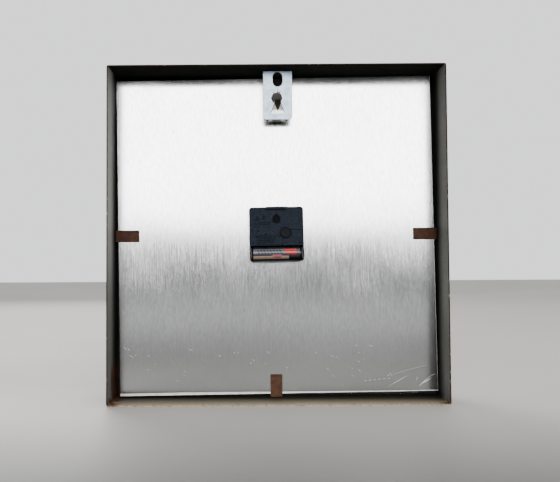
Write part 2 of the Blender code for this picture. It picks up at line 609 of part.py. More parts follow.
def gear_train(tilted):
    """Wheels from the motor's rotor to the hour wheel. Each piece has its origin on its arbor."""
    overlap = 0.1 * MM             # how far a pinion reaches into the wheel that it is joined to
    intermediate_wheel, rotor_pinion = mesh_pair(ROTOR_PAIR, INTERMEDIATE_AXIS, ROTOR_AXIS)
    second_wheel, intermediate_pinion = mesh_pair(SECOND_PAIR, CENTRE_AXIS, INTERMEDIATE_AXIS)
    third_wheel, second_pinion = mesh_pair(THIRD_PAIR, THIRD_AXIS, CENTRE_AXIS)
    centre_wheel, third_pinion = mesh_pair(CENTRE_PAIR, CENTRE_AXIS, THIRD_AXIS)
    motion_wheel, cannon_pinion = mesh_pair(MOTION_PAIR, MOTION_AXIS, CENTRE_AXIS)
    hour_wheel, motion_pinion = mesh_pair(HOUR_PAIR, CENTRE_AXIS, MOTION_AXIS)
    pivot_y = BRIDGE_LAYER[0] + 0.1 * MM
    pivot = 0.4 * MM

    magnet = prism([circle(2.6 * MM, segments=24)], *MAGNET_LAYER)
    rotor = join(prism([rotor_pinion], INTERMEDIATE_LAYER[0], MAGNET_LAYER[0] + overlap), magnet,
                 arbor(pivot_y, ARBOR_BACK_Y, pivot))
    add_object("rotor", rotor, MAGNET, place(ROTOR_AXIS), tilted)

    intermediate = join(prism([intermediate_wheel], *INTERMEDIATE_LAYER),
                        prism([intermediate_pinion], SECOND_LAYER[0], INTERMEDIATE_LAYER[0] + overlap),
                        arbor(pivot_y, ARBOR_BACK_Y, pivot))
    add_object("intermediate_wheel", intermediate, WHITE_PLASTIC, place(INTERMEDIATE_AXIS), tilted)

    second = join(prism([second_wheel], *SECOND_LAYER),
                  prism([second_pinion], THIRD_LAYER[0], SECOND_LAYER[0] + overlap),
                  arbor(SECOND_SHAFT_END_Y, ARBOR_BACK_Y))
    add_object("second_wheel", second, WHITE_PLASTIC, parent=tilted)

    third = join(prism([third_wheel], *THIRD_LAYER),
                 prism([third_pinion], CENTRE_LAYER[0], THIRD_LAYER[0] + overlap),
                 arbor(pivot_y, ARBOR_BACK_Y, pivot))
    add_object("third_wheel", third, WHITE_PLASTIC, place(THIRD_AXIS), tilted)

    radius, bore, front_end = MINUTE_TUBE
    hub = prism([circle(radius, segments=24)], CENTRE_LAYER[0] - 0.2 * MM, CENTRE_LAYER[1] + 0.3 * MM)
    drill = prism([circle(bore, segments=16)], front_end - 1 * MM, CENTRE_LAYER[1] + 1 * MM)
    centre = cut(join(prism([centre_wheel], *CENTRE_LAYER), hub), drill.copy())
    add_object("centre_wheel", centre, WHITE_PLASTIC, parent=tilted)
    cannon = join(prism([cannon_pinion], *MOTION_LAYER),
                  prism([circle(radius, segments=24)], front_end, BRIDGE_LAYER[1] - 0.2 * MM))
    add_object("cannon_pinion", cut(cannon, drill), BRASS, parent=tilted)

    shaft_radius = 1.2 * MM
    motion = join(prism([motion_wheel], *MOTION_LAYER),
                  prism([motion_pinion], HOUR_LAYER[0], MOTION_LAYER[0] + overlap),
                  prism([circle(shaft_radius, segments=16)], MOTION_LAYER[0] + overlap, MOTION_SHAFT_BACK_Y))
    add_object("motion_wheel", motion, WHITE_PLASTIC, place(MOTION_AXIS), tilted)
    shaft_front = MOTION_SHAFT_BACK_Y + GAP
    knob = turned([(0, 5.2 * MM), (KNOB_RADIUS - 0.5 * MM, 5.2 * MM), (KNOB_RADIUS, 4.8 * MM),
                   (KNOB_RADIUS, 3.4 * MM), (shaft_radius, 3.4 * MM), (shaft_radius, shaft_front),
                   (0, shaft_front)], "Y")
    add_object("setting_knob", knob, BLACK_PLASTIC, place(MOTION_AXIS), tilted)

    radius, bore, front_end = HOUR_TUBE
    hour = join(prism([hour_wheel], *HOUR_LAYER),
                prism([circle(radius, segments=24)], front_end, HOUR_LAYER[1] - overlap))
    hour = cut(hour, prism([circle(bore, segments=24)], front_end - 1 * MM, HOUR_LAYER[1] + 1 * MM))
    add_object("hour_wheel", hour, BRASS, parent=tilted)


# ---------------------------------------------------------------- fixings and hands

def dial_fixings(tilted):
    """Rubber washer behind the dial plate, brass washer and hexagonal nut in front of it."""
    bore = BUSH_RADIUS + GAP
    rubber = prism([circle(10 * MM), circle(bore)], DIAL_BACK_Y + GAP, BODY_FRONT_Y - GAP)
    add_object("rubber_washer", rubber, BLACK_RUBBER, parent=tilted)
    washer = prism([circle(8 * MM), circle(bore)], DIAL_FRONT_Y - GAP - 0.8 * MM, DIAL_FRONT_Y - GAP)
    add_object("brass_washer", washer, BRASS, parent=tilted)
    nut_back = DIAL_FRONT_Y - 2 * GAP - 0.8 * MM
    hexagon = circle(NUT_ACROSS_FLATS / math.sqrt(3), segments=6)
    nut = prism([hexagon, circle(bore, segments=24)], nut_back - 2.5 * MM, nut_back)
    add_object("fixing_nut", nut, BRASS, parent=tilted)


def hand(name, shape, boss_radius, bore, y_span, surface, tilted, turn, extras=()):
    """A tapered baton with a round boss, pointing up before it is turned to its time."""
    length, tail, width, tip = shape
    baton = prism([[(-width / 2, -tail), (width / 2, -tail), (tip / 2, length), (-tip / 2, length)]], *y_span)
    boss = prism([circle(boss_radius)], *thicker(y_span))
    solid = join(baton, boss, *extras)
    solid = cut(solid, prism([circle(bore, segments=16)], y_span[0] - 2 * MM, y_span[1] + 2 * MM))
    add_object(name, solid, surface, parent=tilted, turn=turn)


def thicker(y_span):
    """A span a little longer at both ends, so that a boss stands proud of its hand."""
    return y_span[0] - 0.1 * MM, y_span[1] + 0.1 * MM


def hands(tilted):
    minutes = TIME_MINUTES + TIME_SECONDS / 60
    full_turn = 2 * math.pi
    hour_turn = full_turn * (TIME_HOURS + minutes / 60) / 12
    minute_turn = full_turn * minutes / 60
    second_turn = full_turn * TIME_SECONDS / 60
    hand("hour_hand", HOUR_HAND, 7 * MM, HOUR_TUBE[0] + GAP, (-19.3 * MM, -18.8 * MM),
         HAND_BLACK, tilted, hour_turn)
    hand("minute_hand", MINUTE_HAND, 5.5 * MM, MINUTE_TUBE[0] + GAP, (-21.1 * MM, -20.6 * MM),
         HAND_BLACK, tilted, minute_turn)
    rings = [circle(3 * MM, segments=24), circle(MINUTE_TUBE[0] + GAP, segments=16)]
    nut = prism(rings, -22.4 * MM, -21.4 * MM)
    add_object("hand_nut", nut, BRASS, parent=tilted)
    second_span = (-24.4 * MM, -24.0 * MM)
    hub = prism([circle(1.6 * MM, segments=16)], -24.6 * MM, -23.3 * MM)
    weight = prism([circle(5 * MM, (0, -32 * MM), 24)], *thicker(second_span))
    hand("second_hand", SECOND_HAND, 3.5 * MM, ARBOR_RADIUS + GAP, second_span, HAND_RED, tilted, second_turn,
         (hub, weight))


def build():
    tilted = bpy.data.objects.new("dial_frame", None)
    PARTS.objects.link(tilted)
    tilted.location = (0, 0, DIAL_CENTRE_Z)
    tilted.rotation_euler = (0, DIAL_TILT, 0)
    case_shell()
    glass_and_spacers()
    dial_plate(tilted)
    dial_tabs()
    hanging_bracket()
    movement_front_case(tilted)
    movement_back(tilted)
    battery_and_contacts(tilted)
    electronics(tilted)
    bridge_plate(tilted)
    gear_train(tilted)
    dial_fixings(tilted)
    hands(tilted)


build()
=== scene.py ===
"""Looks of the square wall clock: finer pieces, materials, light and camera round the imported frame.

Metres, +Z up. The dial faces -Y and the open back +Y, which is the side that the camera sees.
Pieces are made in the frame's own coordinates, or in the slightly turned ones of the dial.
"""
import json
import math
import random

import bmesh
import bpy
from mathutils import Matrix, Vector


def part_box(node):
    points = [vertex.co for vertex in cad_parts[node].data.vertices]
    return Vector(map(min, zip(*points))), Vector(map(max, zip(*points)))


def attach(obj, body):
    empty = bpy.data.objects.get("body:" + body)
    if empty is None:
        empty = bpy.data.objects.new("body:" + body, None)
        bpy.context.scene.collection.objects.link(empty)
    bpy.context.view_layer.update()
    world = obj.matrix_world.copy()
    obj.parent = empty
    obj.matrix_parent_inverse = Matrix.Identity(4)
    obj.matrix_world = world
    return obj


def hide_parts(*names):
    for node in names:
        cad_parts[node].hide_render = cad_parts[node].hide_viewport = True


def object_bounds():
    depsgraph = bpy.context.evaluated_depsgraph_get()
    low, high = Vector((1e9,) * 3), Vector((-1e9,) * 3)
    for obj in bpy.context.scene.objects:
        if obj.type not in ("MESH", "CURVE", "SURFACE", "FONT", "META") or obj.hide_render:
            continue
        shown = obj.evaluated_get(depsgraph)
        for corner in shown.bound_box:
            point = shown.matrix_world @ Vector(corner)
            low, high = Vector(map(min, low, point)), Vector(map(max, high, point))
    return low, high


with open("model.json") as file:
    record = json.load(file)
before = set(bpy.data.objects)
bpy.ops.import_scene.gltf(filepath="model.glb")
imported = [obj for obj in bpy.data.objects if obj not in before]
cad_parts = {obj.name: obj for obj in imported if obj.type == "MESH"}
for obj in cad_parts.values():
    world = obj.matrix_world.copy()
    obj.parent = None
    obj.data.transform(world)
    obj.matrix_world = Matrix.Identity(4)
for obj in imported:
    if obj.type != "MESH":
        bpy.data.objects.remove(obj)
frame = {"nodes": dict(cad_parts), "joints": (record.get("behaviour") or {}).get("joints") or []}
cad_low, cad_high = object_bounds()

MM = 0.001
STEEL_SHEET = 1.0 * MM
FLAT = Matrix.Identity(4)
UPRIGHT = Matrix.Rotation(math.pi / 2, 4, "X")
# Stands a shape drawn in X and Z on its edge, with what was drawn along Z laid along Y
ON_EDGE = UPRIGHT @ Matrix.Diagonal((1, 1, -1, 1))


def joint_point(name):
    """Where the axis of a joint lies."""
    return next(Vector(joint["pos_m"]) for joint in frame["joints"] if joint["name"] == name)


# The dial and the movement share a frame of their own, turned a little about the hands' axis
HANDS = joint_point("seconds_turn")
DIAL_TURN = math.radians(0.75)
DIAL_FRAME = Matrix.Translation((HANDS.x, 0, HANDS.z)) @ Matrix.Rotation(DIAL_TURN, 4, "Y")
KNOB_PLACE = DIAL_FRAME.inverted() @ joint_point("setting_turn")


def depths(node):
    """The front and the back plane of a CAD node."""
    low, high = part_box(node)
    return low.y, high.y


# Planes, sizes and places that several pieces are laid out from, read from the frame if it has them
RIM_Y = cad_high.y
CASE_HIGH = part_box("case_shell")[1]
INNER_HALF = CASE_HIGH.x - STEEL_SHEET
PLATE_FRONT_Y, PLATE_BACK_Y = depths("dial_plate")
PLATE_HALF = 166.5 * MM
COVER_FRONT_Y, COVER_BACK_Y = depths("movement_back_cover")
MOVEMENT_HALF = 28 * MM
MOVEMENT_CORNER = 3 * MM
BRACKET_LOW, BRACKET_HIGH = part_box("hanging_bracket")
BRACKET_X = (BRACKET_LOW.x + BRACKET_HIGH.x) / 2
CELL_Y = sum(depths("battery")) / 2
CELL_Z = -19.6 * MM
CELL_RADIUS = 7.1 * MM
CELL_PLUS_X, CELL_MINUS_X = -25.6 * MM, 24.9 * MM


# ---------------------------------------------------------------- materials

SOCKETS = {"specular_ior_level": "Specular IOR Level"}

# The Mix node's sockets for colours: it has others of the same names for numbers and vectors
MIX_FIRST, MIX_SECOND, MIX_RESULT = 6, 7, 2


class Look:
    """A Principled material built up from procedural layers in the piece's own coordinates."""

    def __init__(self, name, metallic=0.0, **settings):
        self.material = bpy.data.materials.new(name)
        self.material.use_nodes = True
        self.tree = self.material.node_tree
        self.shader = self.tree.nodes["Principled BSDF"]
        self.shader.inputs["Metallic"].default_value = metallic
        for socket, value in settings.items():
            self.shader.inputs[SOCKETS.get(socket, socket.replace("_", " ").title())].default_value = value
        self.place = self.add("ShaderNodeTexCoord").outputs["Object"]
        self.axes = self.add("ShaderNodeSeparateXYZ", {"Vector": self.place}).outputs
        self.normal = None

    def add(self, kind, inputs=None, **settings):
        node = self.tree.nodes.new(kind)
        for name, value in settings.items():
            setattr(node, name, value)
        for name, value in (inputs or {}).items():
            self.put(node.inputs[name], value)
        return node

    def put(self, socket, value):
        if isinstance(value, bpy.types.NodeSocket):
            self.tree.links.new(value, socket)
        elif socket.type == "RGBA":
            socket.default_value = (*value, 1.0)
        else:
            socket.default_value = value

    def scaled(self, scale, seed):
        """The piece's coordinates, scaled and moved to a place that depends on the seed."""
        return self.add("ShaderNodeMapping", {
            "Vector": self.place, "Scale": scale, "Location": (seed, 2 * seed, 3 * seed)}).outputs[0]

    def noise(self, size, stretch=(1, 1, 1), detail=3.0, seed=0.0):
        """Cloudy noise from 0 to 1 whose blots are about `size` across, times `stretch`."""
        scale = [1 / (size * part) for part in stretch]
        return self.add("ShaderNodeTexNoise", {
            "Vector": self.scaled(scale, seed), "Scale": 1.0, "Detail": detail}).outputs["Fac"]

    def cells(self, size, seed=0.0):
        """Distance to the nearest of points that lie about `size` apart, in sizes."""
        return self.add("ShaderNodeTexVoronoi", {
            "Vector": self.scaled((1 / size,) * 3, seed), "Scale": 1.0}).outputs["Distance"]

    def ramp(self, value, start, end, low=0.0, high=1.0):
        """`low` up to start, `high` from end, and smooth in between."""
        if start > end:
            start, end, low, high = end, start, high, low
        return self.add("ShaderNodeMapRange", {
            "Value": value, "From Min": start, "From Max": end, "To Min": low, "To Max": high},
            interpolation_type="SMOOTHSTEP").outputs["Result"]

    def math(self, operation, first, second=0.0):
        node = self.add("ShaderNodeMath", operation=operation)
        self.put(node.inputs[0], first)
        self.put(node.inputs[1], second)
        return node.outputs[0]

    def both(self, *masks):
        product = masks[0]
        for mask in masks[1:]:
            product = self.math("MULTIPLY", product, mask)
        return product

    def band(self, axis, low, high, soft=0.2 * MM):
        """A mask between two places along an axis, "X", "Y" or "Z"."""
        return self.both(self.ramp(self.axes[axis], low - soft, low + soft),
                         self.ramp(self.axes[axis], high + soft, high - soft))

    def edges(self, radius):
        """A mask of the outer and inner edges, from the bevel's bend of the surface."""
        bent = self.add("ShaderNodeBevel", {"Radius": radius}, samples=4).outputs["Normal"]
        straight = self.add("ShaderNodeNewGeometry").outputs["Normal"]
        node = self.add("ShaderNodeVectorMath", operation="DOT_PRODUCT")
        self.put(node.inputs[0], bent)
        self.put(node.inputs[1], straight)
        return self.ramp(node.outputs["Value"], 0.995, 0.9)

    def mix(self, share, first, second):
        """A colour that goes from the first to the second with the share."""
        node = self.add("ShaderNodeMix", {
            "Factor": share, MIX_FIRST: first, MIX_SECOND: second}, data_type="RGBA")
        return node.outputs[MIX_RESULT]

    def blend(self, value, start, end, first, second):
        """A colour that is the first up to start and the second from end."""
        return self.mix(self.ramp(value, start, end), first, second)

    def colour(self, value):
        self.put(self.shader.inputs["Base Color"], value)

    def roughness(self, value):
        self.put(self.shader.inputs["Roughness"], value)

    def metallic(self, value):
        self.put(self.shader.inputs["Metallic"], value)

    def bump(self, height, depth, strength=1.0):
        """Adds relief of about `depth`, on top of any relief added before."""
        inputs = {"Height": height, "Distance": depth, "Strength": strength}
        if self.normal:
            inputs["Normal"] = self.normal
        self.normal = self.add("ShaderNodeBump", inputs).outputs["Normal"]
        self.put(self.shader.inputs["Normal"], self.normal)


def wall_tone(look, clouds, grit, depth_shade):
    """Mottled grey paint, with painted light that makes the +X wall paler high up and painted shade that
    darkens the walls far inside the case.
    """
    paint = look.blend(clouds, 0.3, 0.7, (0.150, 0.151, 0.140), (0.215, 0.213, 0.195))
    paint = look.blend(grit, 0.55, 0.75, paint, (0.028, 0.027, 0.024))
    # Painted light: the +X wall is paler high up and darker low down, as the light falls on it
    painted_wall_light = look.blend(look.axes["Z"], 95 * MM, 190 * MM, (0.115, 0.115, 0.107), (0.335, 0.335, 0.320))
    paint = look.mix(look.ramp(look.axes["X"], 160 * MM, 169 * MM, 0.0, 0.85), paint, painted_wall_light)
    # Painted shade: the paint is darkened far inside the case
    return look.mix(depth_shade, paint, (0.007, 0.007, 0.006))


def floor_dust(look, floor, clouds):
    """A mask of pale speckled dust on the bottom wall, partly painted light: it grows towards the rim, where
    the light falls.
    """
    depth = look.axes["Y"]
    edge = look.math("POWER", look.ramp(depth, -6 * MM, 32 * MM), look.ramp(clouds, 0.3, 0.7, 3.8, 2.8))
    specks = look.ramp(look.noise(2.0 * MM, detail=2, seed=3), 0.36, 0.50, 0.25, 1.0)
    return look.both(floor, edge, specks)


def corner_rust(look):
    """A mask of the rust patches in the two lower corners, on either side of the case."""
    height, depth, across = look.axes["Z"], look.axes["Y"], look.axes["X"]
    inner_half = look.math("MAXIMUM", look.ramp(depth, 14 * MM, 6 * MM), look.ramp(height, 9 * MM, 4 * MM))
    inner_corner = look.both(look.ramp(across, 155 * MM, 168 * MM),
                             look.ramp(height, 46 * MM, 22 * MM), inner_half)
    rim_corner = look.both(look.ramp(across, -156 * MM, -169 * MM), look.ramp(height, 12 * MM, 3 * MM),
                           look.ramp(depth, 14 * MM, 24 * MM))
    patches = look.ramp(look.noise(14 * MM, detail=6, seed=4), 0.40, 0.52)
    return look.both(look.math("ADD", inner_corner, rim_corner), patches)


def rim_chips(look):
    """A mask of the chips along the open rim, fewer where it stands on the floor."""
    rim = look.ramp(look.axes["Y"], RIM_Y - 2.4 * MM, RIM_Y - 0.5 * MM)
    nicks = look.math("ADD", look.noise(5 * MM, detail=6, seed=9), look.ramp(rim, 0.7, 1.0, 0.0, 0.22))
    above_floor = look.ramp(look.axes["Z"], 1.0 * MM, 3.0 * MM, 0.2, 1.0)
    return look.both(rim, look.ramp(nicks, 0.55, 0.60), above_floor)


def case_paint():
    """Semi-gloss grey paint, chipped along the rim, with rust in the lower corners."""
    look = Look("case_grey_paint", specular_ior_level=0.10)
    clouds, grit = look.noise(40 * MM, detail=5), look.noise(1.2 * MM)
    height, depth, across = look.axes["Z"], look.axes["Y"], look.axes["X"]
    # Painted shade: a mask that grows far inside the case, towards the dial sheet
    depth_shade = look.ramp(depth, 17 * MM, -9 * MM, 0.0, 0.94)
    paint = wall_tone(look, clouds, grit, depth_shade)
    # Painted shade: the underside of the top wall is painted almost black
    ceiling_shade = look.both(look.ramp(height, CASE_HIGH.z - 3 * MM, CASE_HIGH.z - 1.3 * MM),
                        look.ramp(look.math("ABSOLUTE", across), INNER_HALF, INNER_HALF - 1 * MM),
                        look.ramp(depth, RIM_Y, RIM_Y - 1 * MM))
    paint = look.mix(ceiling_shade, paint, (0.006, 0.006, 0.005))

    floor = look.ramp(height, 2.2 * MM, 1.2 * MM)
    # The bottom wall: a brownish dirty tone, with painted shade that darkens it far inside the case
    floor_dirt_and_shade = look.mix(depth_shade, (0.155, 0.130, 0.082), (0.024, 0.021, 0.013))
    paint = look.mix(look.ramp(floor, 0.0, 1.0, 0.0, 0.75), paint, floor_dirt_and_shade)
    # Pale speckled dust, partly painted light that grows towards the lit rim
    dust = floor_dust(look, floor, clouds)
    paint = look.mix(dust, paint, (0.50, 0.40, 0.285))
    rust = corner_rust(look)
    rust_tone = look.blend(grit, 0.4, 0.6, (0.105, 0.036, 0.014), (0.035, 0.014, 0.008))
    paint = look.mix(rust, paint, rust_tone)
    chips = rim_chips(look)
    bare = look.blend(grit, 0.35, 0.65, (0.016, 0.012, 0.010), (0.050, 0.027, 0.017))
    look.colour(look.mix(chips, paint, bare))

    worn = look.math("MAXIMUM", chips, rust)
    dull = look.math("MAXIMUM", look.math("MAXIMUM", worn, dust), ceiling_shade)
    look.roughness(look.math("ADD", look.ramp(clouds, 0.2, 0.8, 0.58, 0.68),
                             look.ramp(dull, 0.0, 1.0, 0.0, 0.30)))
    look.bump(look.noise(2.5 * MM, detail=2), 0.04 * MM, 0.5)
    look.bump(look.math("SUBTRACT", 1.0, worn), 0.12 * MM)
    look.bump(grit, 0.03 * MM, 0.5)
    return look


def plate_metal():
    """Bare aluminium sheet with upright mill grain and smudges, a painted reflection that darkens it towards
    the bottom, and painted shade behind the bracket.
    """
    look = Look("dial_sheet_bare", metallic=1.0, anisotropic=0.55)
    height = look.axes["Z"]
    streaks, cloud = look.noise(0.55 * MM, (1, 1, 60), detail=4), look.noise(70 * MM, detail=4, seed=2)
    grain = look.noise(1.3 * MM, (1, 1, 5), detail=2, seed=8)
    mottle = look.noise(1.6 * MM, (1, 1, 2), detail=2, seed=5)
    tone = look.blend(streaks, 0.3, 0.7, (0.70, 0.71, 0.71), (0.84, 0.85, 0.84))
    tone = look.mix(look.ramp(cloud, 0.35, 0.75, 0.0, 0.35), tone, (0.66, 0.67, 0.66))
    tone = look.mix(look.ramp(grain, 0.62, 0.38, 0.0, 0.26), tone, (0.25, 0.25, 0.25))
    # Painted reflection: the sheet darkens towards its lower edge, for the darker surroundings that it
    # reflects there
    tone = look.mix(look.ramp(height, -25 * MM, -165 * MM, 0.0, 0.92), tone, (0.25, 0.255, 0.25))
    tone = look.mix(look.ramp(look.cells(22 * MM, 7.0), 0.035, 0.02), tone, (0.10, 0.09, 0.08))

    # Painted shade: behind the bracket's slot the sheet is painted near black, and behind its hole dark grey
    behind_slot = look.both(look.band("X", -13 * MM, 5 * MM, 2 * MM), look.ramp(height, 152 * MM, 155 * MM))
    behind_hole = look.both(look.band("X", -14 * MM, 6 * MM, 2 * MM),
                            look.band("Z", 130 * MM, 153 * MM, 3 * MM))
    shade_tone_behind_hole = look.blend(cloud, 0.3, 0.7, (0.20, 0.185, 0.18), (0.28, 0.26, 0.25))
    tone = look.mix(behind_hole, tone, shade_tone_behind_hole)
    look.colour(look.mix(behind_slot, tone, (0.012, 0.009, 0.008)))
    bracket_shade = look.math("MAXIMUM", behind_slot, behind_hole)
    look.metallic(look.ramp(bracket_shade, 0.0, 1.0, 1.0, 0.0))
    sheen = look.math("ADD", look.ramp(streaks, 0.25, 0.75, 0.13, 0.19),
                      look.ramp(cloud, 0.4, 0.8, 0.0, 0.05))
    look.roughness(look.math("ADD", sheen, look.ramp(bracket_shade, 0.0, 1.0, 0.0, 0.7)))
    look.bump(look.noise(90 * MM, detail=1, seed=1), 0.25 * MM, 0.5)
    look.bump(streaks, 0.006 * MM, 0.5)
    look.bump(mottle, 0.010 * MM, 0.5)
    return look


def printed_enamel(name, colour, shade, roughness=0.28):
    """Ink or stoved enamel of the dial's front and of the hands, a little aged."""
    look = Look(name, coat_weight=0.35, coat_roughness=0.12)
    clouds, fine = look.noise(45 * MM, detail=5), look.noise(0.9 * MM, detail=3)
    tone = look.blend(clouds, 0.35, 0.8, colour, shade)
    stains = look.both(look.ramp(look.cells(17 * MM, 2.0), 0.05, 0.02), look.ramp(clouds, 0.45, 0.55))
    look.colour(look.mix(stains, tone, tuple(0.45 * part for part in shade)))
    look.roughness(look.ramp(fine, 0.2, 0.8, roughness, roughness + 0.12))
    look.bump(fine, 0.01 * MM, 0.5)
    return look


def moulded(name, colour, roughness=0.5, texture=0.45 * MM, relief=0.03 * MM, wear=0.35, contrast=1.4,
            shaded_below=None):
    """Injection-moulded plastic or rubber with spark-eroded texture and rubbed edges. What lies
    further in than the depth `shaded_below` gets painted shade."""
    look = Look(name, specular_ior_level=0.07)
    clouds, fine = look.noise(9 * MM, detail=5), look.noise(texture, detail=2)
    lighter = tuple(min(0.85, part * contrast) for part in colour)
    tone = look.blend(clouds, 0.3, 0.7, tuple(part * 0.82 for part in colour), colour)
    tone = look.mix(look.ramp(fine, 0.46, 0.66, 0.0, 0.85), tone, lighter)
    if shaded_below is not None:
        # Painted shade: what lies further in than shaded_below is darkened
        depth_shade = look.ramp(look.axes["Y"], shaded_below, shaded_below - 0.5 * MM)
        tone = look.mix(depth_shade, tone, tuple(part * 0.15 for part in colour))
    rubbed = look.both(look.edges(0.3 * MM), look.ramp(clouds, 0.3, 0.6, wear * 0.4, wear))
    look.colour(look.mix(rubbed, tone, tuple(min(1.0, part * 2.2 + 0.02) for part in colour)))
    look.roughness(look.ramp(fine, 0.2, 0.8, roughness - 0.08, roughness + 0.12))
    look.bump(fine, relief, 0.8)
    return look


def plain_metal(name, colour, roughness=0.3, grain=(1, 1, 1), stains=(0.16, 0.13, 0.10), stained=0.35):
    """Machined or stamped metal with fine tool marks, stains and bright worn edges."""
    look = Look(name, metallic=1.0)
    marks, clouds = look.noise(0.25 * MM, grain, detail=3), look.noise(5 * MM, detail=5)
    dark = tuple(part * 0.78 for part in colour)
    tone = look.blend(marks, 0.3, 0.7, dark, colour)
    tone = look.mix(look.ramp(clouds, 0.50, 0.80, 0.0, stained), tone, stains)
    bright = tuple(min(1.0, part * 1.25) for part in colour)
    look.colour(look.mix(look.both(look.edges(0.2 * MM), look.ramp(clouds, 0.6, 0.4)), tone, bright))
    look.roughness(look.ramp(clouds, 0.3, 0.8, roughness, roughness + 0.18))
    look.bump(marks, 0.01 * MM, 0.5)
    return look


def zinc():
    """Zinc-plated steel: bluish and cloudy, with dark spots, dark dull patches along the edges, and painted
    shade, dull as well, on the side that faces the dial sheet.
    """
    look = Look("bracket_zinc", metallic=0.75)
    clouds, fine = look.noise(6 * MM, detail=6), look.noise(0.8 * MM, detail=3)
    tone = look.blend(clouds, 0.3, 0.7, (0.29, 0.375, 0.455), (0.46, 0.540, 0.630))
    tone = look.mix(look.ramp(fine, 0.55, 0.75, 0.0, 0.5), tone, (0.30, 0.35, 0.42))
    spots = look.both(look.ramp(look.noise(1.5 * MM, detail=4, seed=5), 0.66, 0.70),
                      look.ramp(clouds, 0.40, 0.50))
    tone = look.mix(spots, tone, (0.05, 0.05, 0.055))
    # Painted shade on the side that faces the dial sheet, and dark patches along the edges
    front_shade_and_dark_edges = look.math("MAXIMUM", look.ramp(look.axes["Y"], 8.3 * MM, 7.9 * MM),
                       look.both(look.edges(0.2 * MM), look.ramp(clouds, 0.40, 0.55)))
    look.colour(look.mix(front_shade_and_dark_edges, tone, (0.030, 0.026, 0.022)))
    look.roughness(look.math("ADD", look.ramp(fine, 0.3, 0.7, 0.38, 0.52),
                             look.ramp(front_shade_and_dark_edges, 0.0, 1.0, 0.0, 0.4)))
    look.bump(fine, 0.02 * MM, 0.6)
    return look


def tongue_metal():
    """The bracket's bent tongue, a paler copy of the zinc as a painted reflection of bright surroundings,
    with a dark V that opens towards its tip as a painted reflection of dark ones.
    """
    look = Look("bracket_tongue_zinc", metallic=0.75)
    clouds = look.noise(2.2 * MM, detail=5)
    aside = look.math("ABSOLUTE", look.math("SUBTRACT", look.axes["X"], BRACKET_X))
    above = look.math("SUBTRACT", look.axes["Z"], 298.3 * MM)
    share = look.math("SUBTRACT", above, look.math("MULTIPLY", aside, 2.3))
    # Painted reflection: a dark V that opens towards the tongue's tip
    dark = look.both(look.ramp(share, -0.4 * MM, 0.9 * MM), look.ramp(clouds, 0.2, 0.45, 0.8, 1.0))
    # Painted reflection: the pale tone stands for bright surroundings reflected in the tongue
    tone = look.blend(clouds, 0.3, 0.7, (0.70, 0.72, 0.70), (0.84, 0.84, 0.82))
    look.colour(look.mix(dark, tone, (0.030, 0.026, 0.012)))
    look.roughness(look.ramp(clouds, 0.3, 0.7, 0.35, 0.5))
    look.bump(clouds, 0.05 * MM, 0.6)
    return look


def strap_paint():
    """Brown, rust-stained steel strap with painted shade darkening its edges, dusty near the floor."""
    look = Look("strap_brown", specular_ior_level=0.15)
    clouds, fine = look.noise(5 * MM, detail=6), look.noise(0.7 * MM, detail=3)
    tone = look.blend(clouds, 0.3, 0.7, (0.034, 0.0130, 0.0068), (0.056, 0.0225, 0.0115))
    tone = look.mix(look.ramp(fine, 0.5, 0.7, 0.0, 0.6), tone, (0.024, 0.0095, 0.0055))
    dust = look.blend(clouds, 0.3, 0.7, (0.075, 0.034, 0.019), (0.115, 0.056, 0.030))
    tone = look.mix(look.ramp(look.axes["Z"], 40 * MM, 15 * MM, 0.0, 0.6), tone, dust)
    # Painted shade: the strap's edges are darkened
    look.colour(look.mix(look.edges(0.5 * MM), tone, (0.018, 0.009, 0.006)))
    look.roughness(look.ramp(fine, 0.3, 0.7, 0.55, 0.75))
    look.bump(clouds, 0.10 * MM, 0.5)
    look.bump(fine, 0.03 * MM, 0.6)
    return look


